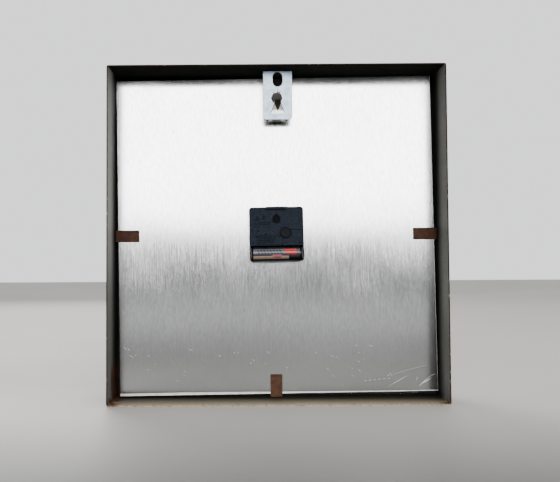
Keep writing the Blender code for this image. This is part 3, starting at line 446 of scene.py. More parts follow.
def cell_wrap():
    """Glossy printed film round the cell: black, with plain silver, red and tan bands."""
    look = Look("cell_wrap_bands", coat_weight=0.15, coat_roughness=0.15)
    across, height = look.axes["X"], look.axes["Z"]
    fine, clouds = look.noise(0.5 * MM, detail=3), look.noise(6 * MM, detail=4)
    facing = look.ramp(look.axes["Y"], CELL_Y, CELL_Y + 0.4 * MM)

    def patch(x0, x1, z0, z1):
        return look.both(look.band("Z", z0 * MM, z1 * MM), look.band("X", x0 * MM, x1 * MM), facing)

    def leaning(amount):
        return look.math("ADD", across, look.math("MULTIPLY", height, amount))

    silver = patch(-20.2, 24.2, -21.3, -15.0)
    red = look.both(silver, look.ramp(leaning(-0.7), 5.0 * MM, 4.0 * MM))
    tan = patch(-12.6, 24.4, -25.8, -22.4)
    small_red = patch(-4.9, 4.6, -24.8, -21.2)
    waves = look.math("SINE", look.math("MULTIPLY", leaning(-0.45), 2 * math.pi / (3.3 * MM)))
    slashes = look.both(look.ramp(waves, -0.60, -0.30),
                        look.band("X", -6.5 * MM, 20 * MM), look.band("Z", -20.6 * MM, -15.5 * MM))
    base = look.blend(clouds, 0.3, 0.7, (0.008, 0.008, 0.010), (0.018, 0.018, 0.020))
    silver_tone = look.blend(fine, 0.3, 0.7, (0.035, 0.036, 0.050), (0.085, 0.087, 0.112))
    base = look.mix(silver, base, look.mix(slashes, silver_tone, (0.012, 0.012, 0.014)))
    base = look.mix(red, base, (0.28, 0.008, 0.007))
    base = look.mix(tan, base, look.blend(clouds, 0.3, 0.7, (0.34, 0.24, 0.17), (0.44, 0.32, 0.24)))
    worn_red = look.blend(fine, 0.35, 0.65, (0.26, 0.03, 0.04), (0.46, 0.22, 0.22))
    look.colour(look.mix(small_red, base, worn_red))
    look.metallic(look.ramp(look.math("MAXIMUM", silver, tan), 0.0, 1.0, 0.0, 0.25))
    look.roughness(look.ramp(fine, 0.3, 0.7, 0.24, 0.36))
    look.bump(clouds, 0.05 * MM, 0.4)
    return look


def clear_glass():
    """Thin window glass: clear but for its reflections, which grow with the slant of the view,
    and a little dust."""
    look = Look("window_glass", metallic=1.0)
    slant = look.add("ShaderNodeLayerWeight", {"Blend": 0.5}).outputs["Facing"]
    mirror = look.ramp(look.math("POWER", slant, 5.0), 0.0, 1.0, 0.034, 1.0)
    most_dust = 0.035
    dust = look.ramp(look.noise(30 * MM, detail=6), 0.45, 0.85, 0.0, most_dust)
    specks = look.ramp(look.cells(9 * MM, 1.0), 0.05, 0.03, 0.0, 0.25)
    look.put(look.shader.inputs["Alpha"], look.math("ADD", mirror, look.math("ADD", dust, specks)))
    look.colour(look.blend(dust, 0.0, most_dust, (0.93, 0.96, 0.95), (0.80, 0.81, 0.79)))
    look.roughness(look.ramp(dust, 0.0, most_dust, 0.02, 0.12))
    look.bump(look.noise(60 * MM, detail=1), 0.02 * MM, 0.3)
    return look


def winding():
    """Enamelled copper wire wound round the coil's long axis, with painted shade in the grooves between its
    turns.
    """
    look = Look("coil_winding", metallic=0.85)
    turns = look.math("SINE", look.math("MULTIPLY", look.axes["X"], 2 * math.pi / (0.16 * MM)))
    # Painted shade: each turn is paler at its crest and darker in the groove beside it
    tone = look.blend(turns, -1.0, 1.0, (0.20, 0.050, 0.018), (0.62, 0.20, 0.080))
    look.colour(look.mix(look.ramp(look.noise(3 * MM), 0.4, 0.7, 0.0, 0.5), tone, (0.40, 0.11, 0.04)))
    look.roughness(look.ramp(look.noise(1 * MM), 0.3, 0.7, 0.25, 0.4))
    look.bump(turns, 0.03 * MM, 0.6)
    return look


def circuit_green():
    """Green solder mask over copper tracks that show as paler lines."""
    look = Look("board_green", coat_weight=0.5, coat_roughness=0.2)
    lanes = look.math("SINE", look.math("MULTIPLY", look.axes["X"], 2 * math.pi / (1.5 * MM)))
    tracks = look.both(look.ramp(lanes, 0.55, 0.75), look.ramp(look.noise(6 * MM), 0.40, 0.50))
    tone = look.blend(look.noise(2 * MM), 0.3, 0.7, (0.012, 0.085, 0.035), (0.022, 0.130, 0.055))
    look.colour(look.mix(tracks, tone, (0.055, 0.240, 0.110)))
    look.roughness(look.ramp(look.noise(0.5 * MM), 0.3, 0.7, 0.32, 0.48))
    look.bump(tracks, 0.03 * MM, 0.7)
    return look


PAINT = case_paint()
PLATE_METAL = plate_metal()
ZINC = zinc()
TONGUE = tongue_metal()
STRAP = strap_paint()
WRAP = cell_wrap()
GLASS = clear_glass()
CREAM = printed_enamel("dial_cream_enamel", (0.78, 0.73, 0.60), (0.68, 0.61, 0.45))
INK = printed_enamel("dial_black_ink", (0.018, 0.018, 0.020), (0.030, 0.028, 0.026))
RED_INK = printed_enamel("dial_red_ink", (0.52, 0.030, 0.022), (0.42, 0.028, 0.020))
BLUE_INK = printed_enamel("dial_blue_ink", (0.020, 0.075, 0.240), (0.018, 0.060, 0.190))
# Painted shade in the cover's recesses and on the movement's sides, behind the cover's back face
BLACK_PLASTIC = moulded("movement_black_plastic", (0.0082, 0.0112, 0.0172), 0.58, 0.7 * MM,
                        contrast=2.9, shaded_below=COVER_BACK_Y - 0.5 * MM)
# Painted shade: a darker copy of the cover's plastic for the raised marks, for the shade round them
SHADED_MARK_PLASTIC = moulded("mark_plastic_shaded", (0.0010, 0.0013, 0.0022), 0.6, wear=0.06)
KNOB_PLASTIC = moulded("knob_black_plastic", (0.0030, 0.0040, 0.0065), 0.42, wear=0.4)
WHITE_PLASTIC = moulded("wheel_white_plastic", (0.72, 0.70, 0.64), 0.42, relief=0.01 * MM)
FOAM = moulded("spacer_black_foam", (0.020, 0.020, 0.020), 0.80, 0.6 * MM, 0.15 * MM)
RUBBER = moulded("washer_black_rubber", (0.022, 0.022, 0.022), 0.75, 0.5 * MM, 0.04 * MM)
STEEL = plain_metal("contact_steel", (0.60, 0.61, 0.62), 0.28, (1, 1, 20))
# Painted shade: a darkened copy of the steel for the contacts, which lie in the shade of the battery bay
SHADED_STEEL = plain_metal("contact_steel_shaded", (0.20, 0.20, 0.20), 0.5, (1, 1, 20), (0.05, 0.045, 0.04), 0.8)
BRASS = plain_metal("turned_brass", (0.72, 0.52, 0.21), 0.26, (20, 1, 20), (0.22, 0.13, 0.05))
MAGNET = plain_metal("rotor_magnet", (0.10, 0.10, 0.11), 0.4)
HAND_BLACK = printed_enamel("hand_black_paint", (0.014, 0.014, 0.015), (0.024, 0.023, 0.022), 0.32)
HAND_RED = printed_enamel("hand_red_paint", (0.56, 0.030, 0.018), (0.46, 0.026, 0.018), 0.30)
COIL = winding()
BOARD = circuit_green()


# ---------------------------------------------------------------- shapes

def solid_mesh(holder):
    """The evaluated mesh of an object, with its caps welded to its sides. Removes the object."""
    bpy.context.view_layer.update()
    seen = holder.evaluated_get(bpy.context.evaluated_depsgraph_get())
    mesh = bpy.data.meshes.new_from_object(seen)
    shape = bmesh.new()
    shape.from_mesh(mesh)
    bmesh.ops.remove_doubles(shape, verts=shape.verts, dist=0.002 * MM)
    bmesh.ops.recalc_face_normals(shape, faces=shape.faces)
    shape.to_mesh(mesh)
    shape.free()
    bpy.data.objects.remove(holder)
    return mesh


def holding(name, data):
    holder = bpy.data.objects.new(name, data)
    bpy.context.scene.collection.objects.link(holder)
    return holder


def drawn(loops, y_front, y_back, edge, steps=2):
    """A solid between two heights along Y whose outline in X and Z is the first loop, with the
    other loops as holes, and whose edges are rounded by `edge`."""
    drawing = bpy.data.curves.new("outline", "CURVE")
    drawing.dimensions = "2D"
    drawing.fill_mode = "BOTH"
    drawing.extrude = (y_back - y_front) / 2 - edge
    drawing.bevel_depth = edge
    drawing.bevel_resolution = steps
    drawing.offset = -edge
    for loop in loops:
        spline = drawing.splines.new("POLY")
        spline.points.add(len(loop) - 1)
        spline.use_cyclic_u = True
        for point, (x, z) in zip(spline.points, loop):
            point.co = (x, z, 0, 1)
    mesh = solid_mesh(holding("outline", drawing))
    mesh.transform(Matrix.Translation((0, (y_front + y_back) / 2, 0)) @ UPRIGHT)
    return mesh


def turned(profile, axis, segments=64):
    """A solid of revolution. The profile lists (radius, height) down its outer side."""
    mesh = bpy.data.meshes.new("profile")
    mesh.from_pydata([(radius, 0, height) for radius, height in profile],
                     [(number, number + 1) for number in range(len(profile) - 1)], [])
    holder = holding("profile", mesh)
    screw = holder.modifiers.new("turn", "SCREW")
    screw.steps = screw.render_steps = segments
    screw.use_merge_vertices = True
    screw.merge_threshold = 0.002 * MM
    made = solid_mesh(holder)
    made.transform({"X": Matrix.Rotation(math.pi / 2, 4, "Y"), "Y": Matrix.Rotation(-math.pi / 2, 4, "X"),
                    "Z": FLAT}[axis])
    return made


def cut(base, tools):
    """The base mesh with each of the tools taken away from it."""
    for mesh in tools:
        holder, tool = holding("base", base), holding("tool", mesh)
        step = holder.modifiers.new("step", "BOOLEAN")
        step.operation = "DIFFERENCE"
        step.solver = "EXACT"
        step.object = tool
        base = solid_mesh(holder)
        bpy.data.objects.remove(tool)
    return base


def rounded(mesh, edge, segments=2, angle=35):
    """The mesh with its flat faces merged and its sharp edges rounded."""
    shape = bmesh.new()
    shape.from_mesh(mesh)
    bmesh.ops.remove_doubles(shape, verts=shape.verts, dist=0.002 * MM)
    bmesh.ops.dissolve_limit(shape, angle_limit=math.radians(0.5), verts=shape.verts, edges=shape.edges)
    flat = bpy.data.meshes.new("flat")
    shape.to_mesh(flat)
    shape.free()
    holder = holding("flat", flat)
    bevel = holder.modifiers.new("edge", "BEVEL")
    bevel.width = edge
    bevel.segments = segments
    bevel.limit_method = "ANGLE"
    bevel.angle_limit = math.radians(angle)
    return solid_mesh(holder)


def wire(points, radius, resolution, swellings=()):
    """A round wire along points, each of which may have a share of the radius of its own."""
    line = bpy.data.curves.new("wire", "CURVE")
    line.dimensions = "3D"
    line.bevel_depth = radius
    line.bevel_resolution = resolution
    line.use_fill_caps = True
    spline = line.splines.new("POLY")
    spline.points.add(len(points) - 1)
    for point, place in zip(spline.points, points):
        point.co = (*place, 1)
    for point, swelling in zip(spline.points, swellings):
        point.radius = swelling
    return solid_mesh(holding("wire", line))


def merged(meshes):
    """Several meshes as one, each keeping its own closed surface."""
    shape = bmesh.new()
    for mesh in meshes:
        shape.from_mesh(mesh)
    made = bpy.data.meshes.new("merged")
    shape.to_mesh(made)
    shape.free()
    return made


def piece(name, mesh, look, body, replaces=(), place=FLAT):
    """Puts a mesh in the scene as a piece that rides on a CAD body and may stand for CAD nodes."""
    made = holding(name, mesh)
    mesh.name = name
    mesh.materials.clear()
    mesh.materials.append(look.material)
    mesh.shade_smooth()
    mesh.set_sharp_from_angle(angle=math.radians(30))
    made.matrix_world = place
    normals = made.modifiers.new("normals", "WEIGHTED_NORMAL")
    normals.keep_sharp = True
    normals.weight = 100
    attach(made, body)
    if replaces:
        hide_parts(*replaces)


def refined(node, look, body, edge, segments=2):
    """A piece that is a CAD node with its edges rounded."""
    mesh = rounded(frame["nodes"][node].data, edge, segments)
    piece(f"{node}_fine", mesh, look, body, (node,))


def dress(look, *nodes):
    """Gives CAD nodes that stay a material."""
    for node in nodes:
        mesh = frame["nodes"][node].data
        mesh.materials.clear()
        mesh.materials.append(look.material)


# ---------------------------------------------------------------- outlines

def circle(radius, centre=(0, 0), count=48):
    angles = [2 * math.pi * number / count for number in range(count)]
    return [(centre[0] + radius * math.cos(a), centre[1] + radius * math.sin(a)) for a in angles]


def arc(radius, centre, start, end, count=12):
    """Points along an arc, from one angle to another in degrees."""
    angles = [math.radians(start + (end - start) * number / count) for number in range(count + 1)]
    return [(centre[0] + radius * math.cos(a), centre[1] + radius * math.sin(a)) for a in angles]


def rectangle(x0, x1, z0, z1):
    return [(x0, z0), (x1, z0), (x1, z1), (x0, z1)]


def rounded_box(x0, x1, z0, z1, radii, count=6):
    """A rectangle with rounded corners; radii run anticlockwise from the corner at x0 and z0."""
    corners = ((x0, z0, 1, 1), (x1, z0, -1, 1), (x1, z1, -1, -1), (x0, z1, 1, -1))
    loop = []
    for number, (radius, (x, z, side_x, side_z)) in enumerate(zip(radii, corners)):
        start = 180 + 90 * number
        loop += arc(radius, (x + side_x * radius, z + side_z * radius), start, start + 90, count)
    return loop


def moved(loop, x=0.0, z=0.0, turn=0.0):
    """The loop turned anticlockwise by an angle in degrees and then moved."""
    c, s = math.cos(math.radians(turn)), math.sin(math.radians(turn))
    return [(x + c * a - s * b, z + s * a + c * b) for a, b in loop]


def in_mm(loop):
    """The loop in metres, of a loop given in millimetres."""
    return [(x * MM, z * MM) for x, z in loop]


# ---------------------------------------------------------------- case and glass

def case():
    body = rounded(frame["nodes"]["case_shell"].data, 0.22 * MM)
    piece("case_body", body, PAINT, "case", ("case_shell",))
    refined("front_glass", GLASS, "case", 0.4 * MM)
    dress(FOAM, "spacer_left", "spacer_right", "spacer_top", "spacer_bottom")


def straps():
    """Bent straps that hold the dial sheet: drawn in section, then stood against their wall."""
    turns = {"left_tab": (0.0, 1), "right_tab": (math.pi, -1), "bottom_tab": (math.pi / 2, 0)}
    thick = 0.9 * MM
    for node, (turn, side_x) in turns.items():
        low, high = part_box(node)
        middle = (low + high) / 2
        reach, width = high.x - low.x, high.z - low.z
        if not side_x:
            reach, width = width, reach
        back, front = high.y, low.y
        lift = 0.35 * MM
        section = [(-reach, back + lift), (-reach * 0.82, back)]
        section += arc(1.5 * MM, (-1.5 * MM, back - 1.5 * MM), 90, 0, 8)
        section += [(0, front), (-thick, front)]
        section += arc(0.6 * MM, (-1.5 * MM, back - 1.5 * MM), 0, 90, 6)
        section += [(-reach * 0.82, back - thick), (-reach, back - thick + lift)]
        strap = drawn([section[::-1]], -width / 2, width / 2, 0.14 * MM)
        strap.transform(ON_EDGE)
        strap.flip_normals()
        corner_x = high.x if side_x > 0 else low.x if side_x < 0 else middle.x
        corner = Vector((corner_x, 0, middle.z if side_x else low.z))
        strap.transform(Matrix.Translation(corner) @ Matrix.Rotation(turn, 4, "Y"))
        piece(f"{node}_strap", strap, STRAP, "case", (node,))


# ---------------------------------------------------------------- dial sheet and its print

def sheet_metal():
    """The dial sheet, bare at the back and enamelled in front."""
    half = PLATE_HALF
    hole = circle(4.3 * MM)
    mesh = drawn([rectangle(-half, half, -half, half), hole], PLATE_FRONT_Y, PLATE_BACK_Y, 0.12 * MM)
    piece("dial_sheet", mesh, PLATE_METAL, "case", ("dial_plate",), DIAL_FRAME)
    mesh.materials.append(CREAM.material)
    for face in mesh.polygons:
        face.material_index = 1 if face.normal.y < -0.9 else 0


def on_sheet(loop):
    """A flat shape that stands 0.03 mm proud of the sheet's bare back."""
    return drawn([loop], PLATE_BACK_Y - 0.03 * MM, PLATE_BACK_Y + 0.03 * MM, 0.01 * MM, 0)


def burr():
    """Turned-up lip that shearing left along the sheet's lower and -X edges, and a painted highlight:
    a flat bright strip along the lower one, widest towards +X."""
    draw = random.Random(5)
    count, half = 90, PLATE_HALF
    lips = []
    for start, end, size in (((-1, -1), (1, -1), 0.42 * MM), ((-1, -1), (-1, 1), 0.20 * MM)):
        points, swellings = [], []
        inset = 1 - size * 0.9 / half
        for number in range(count + 1):
            share = number / count
            x = half * (start[0] + (end[0] - start[0]) * share)
            z = half * (start[1] + (end[1] - start[1]) * share)
            points.append((x * inset, PLATE_BACK_Y - size * 0.45, z * inset))
            swellings.append(draw.uniform(0.75, 1.15))
        lips.append(wire(points, size, 2, swellings))
    # Painted highlight: a flat bright strip along the lower edge, for the light that an upturned edge would
    # catch
    edge_highlight = [(half, -half), (half, -half + 2.6 * MM), (0.55 * half, -half + 2.8 * MM),
              (0.0, -half + 2.0 * MM), (-0.58 * half, -half + 1.1 * MM), (-half, -half + 0.9 * MM),
              (-half, -half)]
    lips.append(on_sheet(edge_highlight))
    bright = plain_metal("sheared_edge", (0.77, 0.78, 0.76), 0.45, stains=(0.5, 0.5, 0.5), stained=0.6)
    piece("dial_sheet_burr_and_highlight", merged(lips), bright, "case", (), DIAL_FRAME)


def scratches():
    """Raised sides of scratches on the bare sheet, as fine slivers."""
    draw = random.Random(11)
    strokes = [((-146.1, -161.7), (-158.1, -151.5), 0.42), ((-150.5, -158.8), (-160.5, -152.6), 0.26),
               ((-157.0, -151.8), (-165.3, -148.2), 0.12), ((-114.2, -161.4), (-136.5, -149.1), 0.18),
               ((-143.7, -155.6), (-145.8, -151.0), 0.10), ((-112.5, -150.6), (-118.0, -147.2), 0.16)]
    for number in range(6):                       # a dashed scrape along the lower edge
        x = -89 - 4.9 * number
        strokes.append(((x, -154.9 + 0.42 * number), (x - 3.2, -154.6 + 0.42 * number), 0.20))
    for number in range(18):                      # its dotted end, which rises to the side
        x, z = -117.5 - 2.1 * number, -149.8 + 9.6 * (number / 17) ** 0.8
        strokes.append(((x, z), (x - 1.2, z + 0.3), 0.15))
    for _ in range(34):                           # short marks all over the lower part
        x, z = draw.uniform(-110, 160), draw.uniform(-160, -118)
        heading, reach = math.radians(draw.uniform(20, 50)), draw.uniform(1.5, 6.0)
        strokes.append(((x, z), (x + reach * math.cos(heading), z + reach * math.sin(heading)), 0.09))
    slivers = []
    for (x0, z0), (x1, z1), width in strokes:
        along = Vector((x1 - x0, z1 - z0)).normalized()
        side = Vector((-along.y, along.x)) * width
        middle = ((x0 + x1) / 2, (z0 + z1) / 2)
        loop = [(x0, z0), (middle[0] + side.x, middle[1] + side.y),
                (x1, z1), (middle[0] - side.x, middle[1] - side.y)]
        slivers.append(on_sheet(in_mm(loop)))
    bright = plain_metal("scratched_aluminium", (0.96, 0.96, 0.95), 0.55, stained=0.0)
    piece("dial_sheet_scratches", merged(slivers), bright, "case", (), DIAL_FRAME)


def printed(name, loops_list, look, layer=0):
    """Flat print on the dial's front; each layer lies a hair in front of the one before."""
    thick = 0.05 * MM
    back = PLATE_FRONT_Y - layer * thick
    meshes = [drawn(loops, back - thick, back, 0.008 * MM, 0) for loops in loops_list]
    piece(name, merged(meshes), look, "case", (), DIAL_FRAME)


def numeral(text, x, z):
    """An hour's number, printed on the dial's front."""
    thick = 0.02 * MM
    letters = bpy.data.curves.new("numeral", "FONT")
    letters.body = text
    letters.size = 30 * MM
    letters.align_x, letters.align_y = "CENTER", "CENTER"
    letters.extrude = thick
    letters.offset = 0.35 * MM
    letters.resolution_u = 6
    mesh = solid_mesh(holding("numeral", letters))
    mesh.transform(Matrix.Translation((x, PLATE_FRONT_Y - thick, z)) @ UPRIGHT)
    return mesh


def minute_track():
    """Two rings with a bar for each minute, longer and wider at the hours."""
    outer, inner, line = 148 * MM, 139.5 * MM, 0.6 * MM
    printed("dial_track_rings", [[circle(outer + line, count=120), circle(outer, count=120)],
                                 [circle(inner, count=120), circle(inner - line, count=120)]], INK)
    bars = []
    for minute in range(60):
        width, length = (1.1 * MM, 5.2 * MM) if minute % 5 else (3.2 * MM, outer - inner)
        bar = rectangle(-width / 2, width / 2, outer - length, outer)
        bars.append([moved(bar, turn=-6 * minute)])
    printed("dial_minute_bars", bars, INK, 1)


def hour_numbers():
    numbers = []
    for hour in range(1, 13):
        angle = math.radians(30 * hour)
        radius = 119 * MM
        numbers.append(numeral(str(hour), radius * math.sin(angle), radius * math.cos(angle)))
    piece("dial_numbers", merged(numbers), INK, "case", (), DIAL_FRAME)


def dial_print():
    """A plain service-station face of generic design: minute track, numbers, bands and a drop."""
    minute_track()
    hour_numbers()
    corner, size = 150 * MM, 34 * MM
    wedge = [(corner, corner), (corner - size, corner)]
    wedge += arc(size, (corner, corner), 180, 270, 14)[1:-1] + [(corner, corner - size)]
    printed("dial_corner_quarters", [[moved(wedge[::-1], turn=turn)] for turn in (0, 90, 180, 270)], RED_INK)
    band = 74 * MM
    red_band = rounded_box(-band, band, -52 * MM, -40 * MM, (6 * MM,) * 4)
    blue_band = rounded_box(-band * 0.8, band * 0.8, -62 * MM, -55 * MM, (3.5 * MM,) * 4)
    printed("dial_band_red", [[red_band]], RED_INK)
    printed("dial_band_blue", [[blue_band]], BLUE_INK)
    middle = 50 * MM
    drop = arc(15 * MM, (0, middle), 205, 335, 18) + [(0, 82 * MM)]
    inner = [(0.62 * x, middle + 0.62 * (z - middle)) for x, z in drop]
    core = [(0.85 * x, middle + 0.85 * (z - middle)) for x, z in inner]
    printed("dial_drop_blue", [[drop, inner]], BLUE_INK)
    printed("dial_drop_red", [[core]], RED_INK)


# ---------------------------------------------------------------- hanging bracket

def bracket():
    """Angle bracket with its slot, eight-sided hole and three nicks, its tongue and its rivets."""
    top, half = BRACKET_HIGH.z, (BRACKET_HIGH.x - BRACKET_LOW.x) / 2
    back = 9 * MM
    thick = 1.5 * MM
    front = back - thick
    slot_half, slot_reach, slot_z = 5.1 * MM, 2.7 * MM, top - 8.7 * MM
    hole_x, hole_z, base_z = 0.9 * MM, top - 28.4 * MM, top - 44.4 * MM
    outline = rounded_box(-half, half, BRACKET_LOW.z, top, (3.6 * MM, 3.6 * MM, 0.2 * MM, 0.2 * MM), 3)
    slot = arc(slot_half, (0, slot_z + slot_reach), 0, 180, 5)
    slot += arc(slot_half, (0, slot_z - slot_reach), 180, 360, 5)
    drop = drawn([outline, slot], front, back, 0.25 * MM)
    window = [(-7.6 * MM, base_z), (7.6 * MM, base_z), (1.8 * MM, hole_z), (-1.8 * MM, hole_z)]
    openings = [window, circle(6 * MM, (hole_x, hole_z), 8)]
    for angle, reach in ((-28, 7.4), (9, 8.4), (26, 8.1)):
        nick = in_mm([(-0.9, 5), (0.9, 5), (0.35, reach), (-0.35, reach)])
        openings.append(moved(nick, hole_x, hole_z, angle))
    cutters = [drawn([loop], front - 2 * MM, back + 2 * MM, 0.01 * MM, 0) for loop in openings]
    drop = rounded(cut(drop, cutters), 0.12 * MM, 2, 60)
    shelf = drawn([rectangle(-half, half, BRACKET_LOW.y, front + 0.3 * MM)], -thick / 2, thick / 2, 0.2 * MM)
    shelf.transform(Matrix.Translation((0, 0, top - thick / 2)) @ ON_EDGE)
    shelf.flip_normals()
    both = merged([drop, shelf])
    both.transform(Matrix.Translation((BRACKET_X, 0, 0)))
    piece("bracket_plate", both, ZINC, "case", ("hanging_bracket",))

    tongue = creased_tongue(7.3 * MM, 14.8 * MM, 1.4 * MM)
    tongue.transform(Matrix.Translation((BRACKET_X, back - 0.1 * MM, base_z - 0.2 * MM)))
    piece("bracket_tongue", tongue, TONGUE, "case")
    for number in (1, 2):
        bracket_rivet(number)


def bracket_rivet(number):
    """Rivet with a domed head on the case and a turned-over foot below the shelf."""
    low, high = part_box(f"bracket_rivet_{number}")
    middle, head_z = (low + high) / 2, CASE_HIGH.z + 0.15 * MM
    dome = [(3.6 * MM * x, head_z + 1.3 * MM * z) for x, z in arc(1.0, (0, 0), 90, 0, 8)]
    foot = [(1.8 * MM, head_z)]
    foot += [(x * MM, low.z + z * MM) for x, z in ((1.8, 0.9), (3.2, 0.9), (2.8, 0.2), (1.4, 0), (0, 0))]
    rivet = turned(dome + foot, "Z", 40)
    rivet.transform(Matrix.Translation((middle.x, middle.y, 0)))
    piece(f"rivet_{number}", rivet, ZINC, "case", (f"bracket_rivet_{number}",))


def creased_tongue(half, height, thick):
    """A triangular tongue bent out of the bracket, folded along a diamond towards its tip."""
    rows, columns = 14, 12
    shape = bmesh.new()
    grid = []
    for row in range(rows + 1):
        share = row / rows
        reach = half * (1 - share) + 1.1 * MM * share
        line = []
        for column in range(columns + 1):
            side = (column - columns / 2) / (columns / 2)
            out = 0.9 * MM * share + 7.2 * MM * max(0.0, share - 0.25) ** 1.3
            fold = max(0.0, share - 0.12 - 0.62 * abs(side)) * 2.6 * MM
            line.append(shape.verts.new((reach * side, out - fold, height * share * 0.93)))
        grid.append(line)
    for below, above in zip(grid, grid[1:]):
        for number in range(columns):
            shape.faces.new((below[number], below[number + 1], above[number + 1], above[number]))
    mesh = bpy.data.meshes.new("tongue")
    shape.to_mesh(mesh)
    shape.free()
    holder = holding("tongue", mesh)
    sheet = holder.modifiers.new("sheet", "SOLIDIFY")
    sheet.thickness = thick
    sheet.offset = 1
    return rounded(solid_mesh(holder), 0.12 * MM, 2, 50)


# ---------------------------------------------------------------- movement

def movement_cover():
    """Back cover with its pointed keyhole, the knob's ring recess, the hanging slit and clips."""
    half, bay_top = MOVEMENT_HALF, -11.9 * MM
    panel_x, panel_z = -6.0 * MM, 4.4 * MM
    corner, bend = half - MOVEMENT_CORNER, MOVEMENT_CORNER
    outline = [(half, bay_top), (half, 25 * MM)] + arc(bend, (corner, corner), 0, 90, 6)[1:]
    outline += [(12 * MM, half), (9.5 * MM, half + 0.5 * MM), (-9 * MM, half + 0.5 * MM), (-11.6 * MM, half)]
    outline += arc(bend, (-corner, corner), 90, 180, 6)
    outline += [(-half, panel_z), (panel_x, panel_z), (panel_x, bay_top)]
    cover = drawn([outline], COVER_FRONT_Y, COVER_BACK_Y, 0.3 * MM, 3)
    keyhole = in_mm([(0, 21.4), (1.9, 19.6), (3.6, 17.9), (4.2, 16.2), (4.1, 14.0), (3.5, 12.2),
                     (2.2, 11.2), (0, 10.9)])
    keyhole = moved(keyhole + [(-x, z) for x, z in keyhole[-2:0:-1]], x=-0.2 * MM)[::-1]
    slit = in_mm([(11, 26.3), (-9.7, 26.2), (-9.7, 24.4), (11, 24.9)])
    well = circle(6.1 * MM, (KNOB_PLACE.x, KNOB_PLACE.z))
    clips = [in_mm(rectangle(*span)) for span in (
        (26.6, 29, 9.9, 11.0), (26.6, 29, 3.6, 4.7), (-29, -26.6, 11.0, 12.1), (-29, -26.6, 5.9, 7.0))]
    recess_y, clip_y = COVER_BACK_Y - 1.9 * MM, COVER_BACK_Y - 0.9 * MM
    cuts = [(well, COVER_FRONT_Y - 1 * MM), (keyhole, recess_y), (slit, recess_y)]
    cuts += [(clip, clip_y) for clip in clips]
    cutters = [drawn([loop], floor_y, COVER_BACK_Y + 1 * MM, 0.01 * MM, 0) for loop, floor_y in cuts]
    cover = rounded(cut(cover, cutters), 0.12 * MM, 2, 60)
    piece("movement_cover", cover, BLACK_PLASTIC, "case",
          ("movement_back_cover",), DIAL_FRAME)
    refined("terminal_cover", BLACK_PLASTIC, "case", 0.3 * MM, 3)


def movement_case():
    """Front part of the movement, with its lower corners rounded."""
    middle, outside = MOVEMENT_HALF - MOVEMENT_CORNER, MOVEMENT_HALF + 1 * MM
    before, behind = -18 * MM, 6 * MM
    corners = []
    for side in (-1, 1):
        loop = arc(MOVEMENT_CORNER, (side * middle, -middle), 270, 270 + 90 * side, 8)
        loop += [(side * outside, -middle), (side * outside, -outside), (side * middle, -outside)]
        corner = drawn([loop[::side]], before, behind, 0.01 * MM, 0)
        corner.transform(DIAL_FRAME)
        corners.append(corner)
    front = rounded(cut(frame["nodes"]["movement_front_case"].data, corners), 0.25 * MM)
    piece("movement_case", front, BLACK_PLASTIC, "case", ("movement_front_case",))


def cover_marks():
    """Plain raised marks on the cover: bars, triangles, and a plus and a minus by the bay, in a darker
    plastic as painted shade.
    """
    loops = []

    def bars(x, z, widths, height=0.55):
        for width in widths:
            loops.append([rectangle(x - width, x, z, z + height)])
            x -= width + 0.8

    for x, z, size in ((19.8, 16.6, 2.4), (12.6, 17.2, 3.0), (19.4, 3.6, 2.2)):
        outer = [(0, size), (-0.62 * size, -0.5 * size), (0.62 * size, -0.5 * size)]
        inner = [(0.52 * a, 0.52 * b - 0.02 * size) for a, b in outer]
        loops.append([moved(outer, x, z), moved(inner, x, z)])
    bars(22.6, 14.2, (5.2,))
    bars(22.4, 11.6, (2.2, 3.6, 1.6, 3.4, 2.0))
    bars(22.4, 10.0, (4.2, 2.4, 3.6, 2.8))
    bars(21.6, 7.4, (3.6,))
    bars(21.4, -2.4, (7.0, 3.2))
    for span in ((-4.6, 20.6, -2.0, -1.6), (-4.6, 20.6, -10.8, -10.4), (20.2, 20.6, -10.8, -1.6)):
        loops.append([rectangle(*span)])
    bars(19.2, -4.4, (2.6, 4.2, 1.8, 3.8, 2.4), 0.8)
    bars(19.2, -6.6, (4.4, 2.0, 5.2, 3.0), 0.8)
    bars(19.2, -8.8, (6.0, 3.2, 4.8), 0.8)
    loops.append([rectangle(-25.7, -23.1, -9.4, -8.8)])
    loops.append([rectangle(-24.7, -24.1, -10.4, -7.8)])
    loops.append([rectangle(22.7, 25.3, -9.4, -8.8)])
    loops.append([moved([(-1.0, -1.2), (1.0, -1.2), (0.0, 1.4)], 10.6, 0.2, 35)])
    loops = [[in_mm(loop) for loop in mark] for mark in loops]
    for x, z in arc(7.3 * MM, (KNOB_PLACE.x, KNOB_PLACE.z), -30, 66, 8):
        loops.append([circle(0.32 * MM, (x, z), 10)])
    low, high = COVER_BACK_Y - 0.1 * MM, COVER_BACK_Y + 0.25 * MM
    marks = [drawn(mark, low, high, 0.05 * MM, 1) for mark in loops]
    piece("movement_marks", merged(marks), SHADED_MARK_PLASTIC, "case", (), DIAL_FRAME)


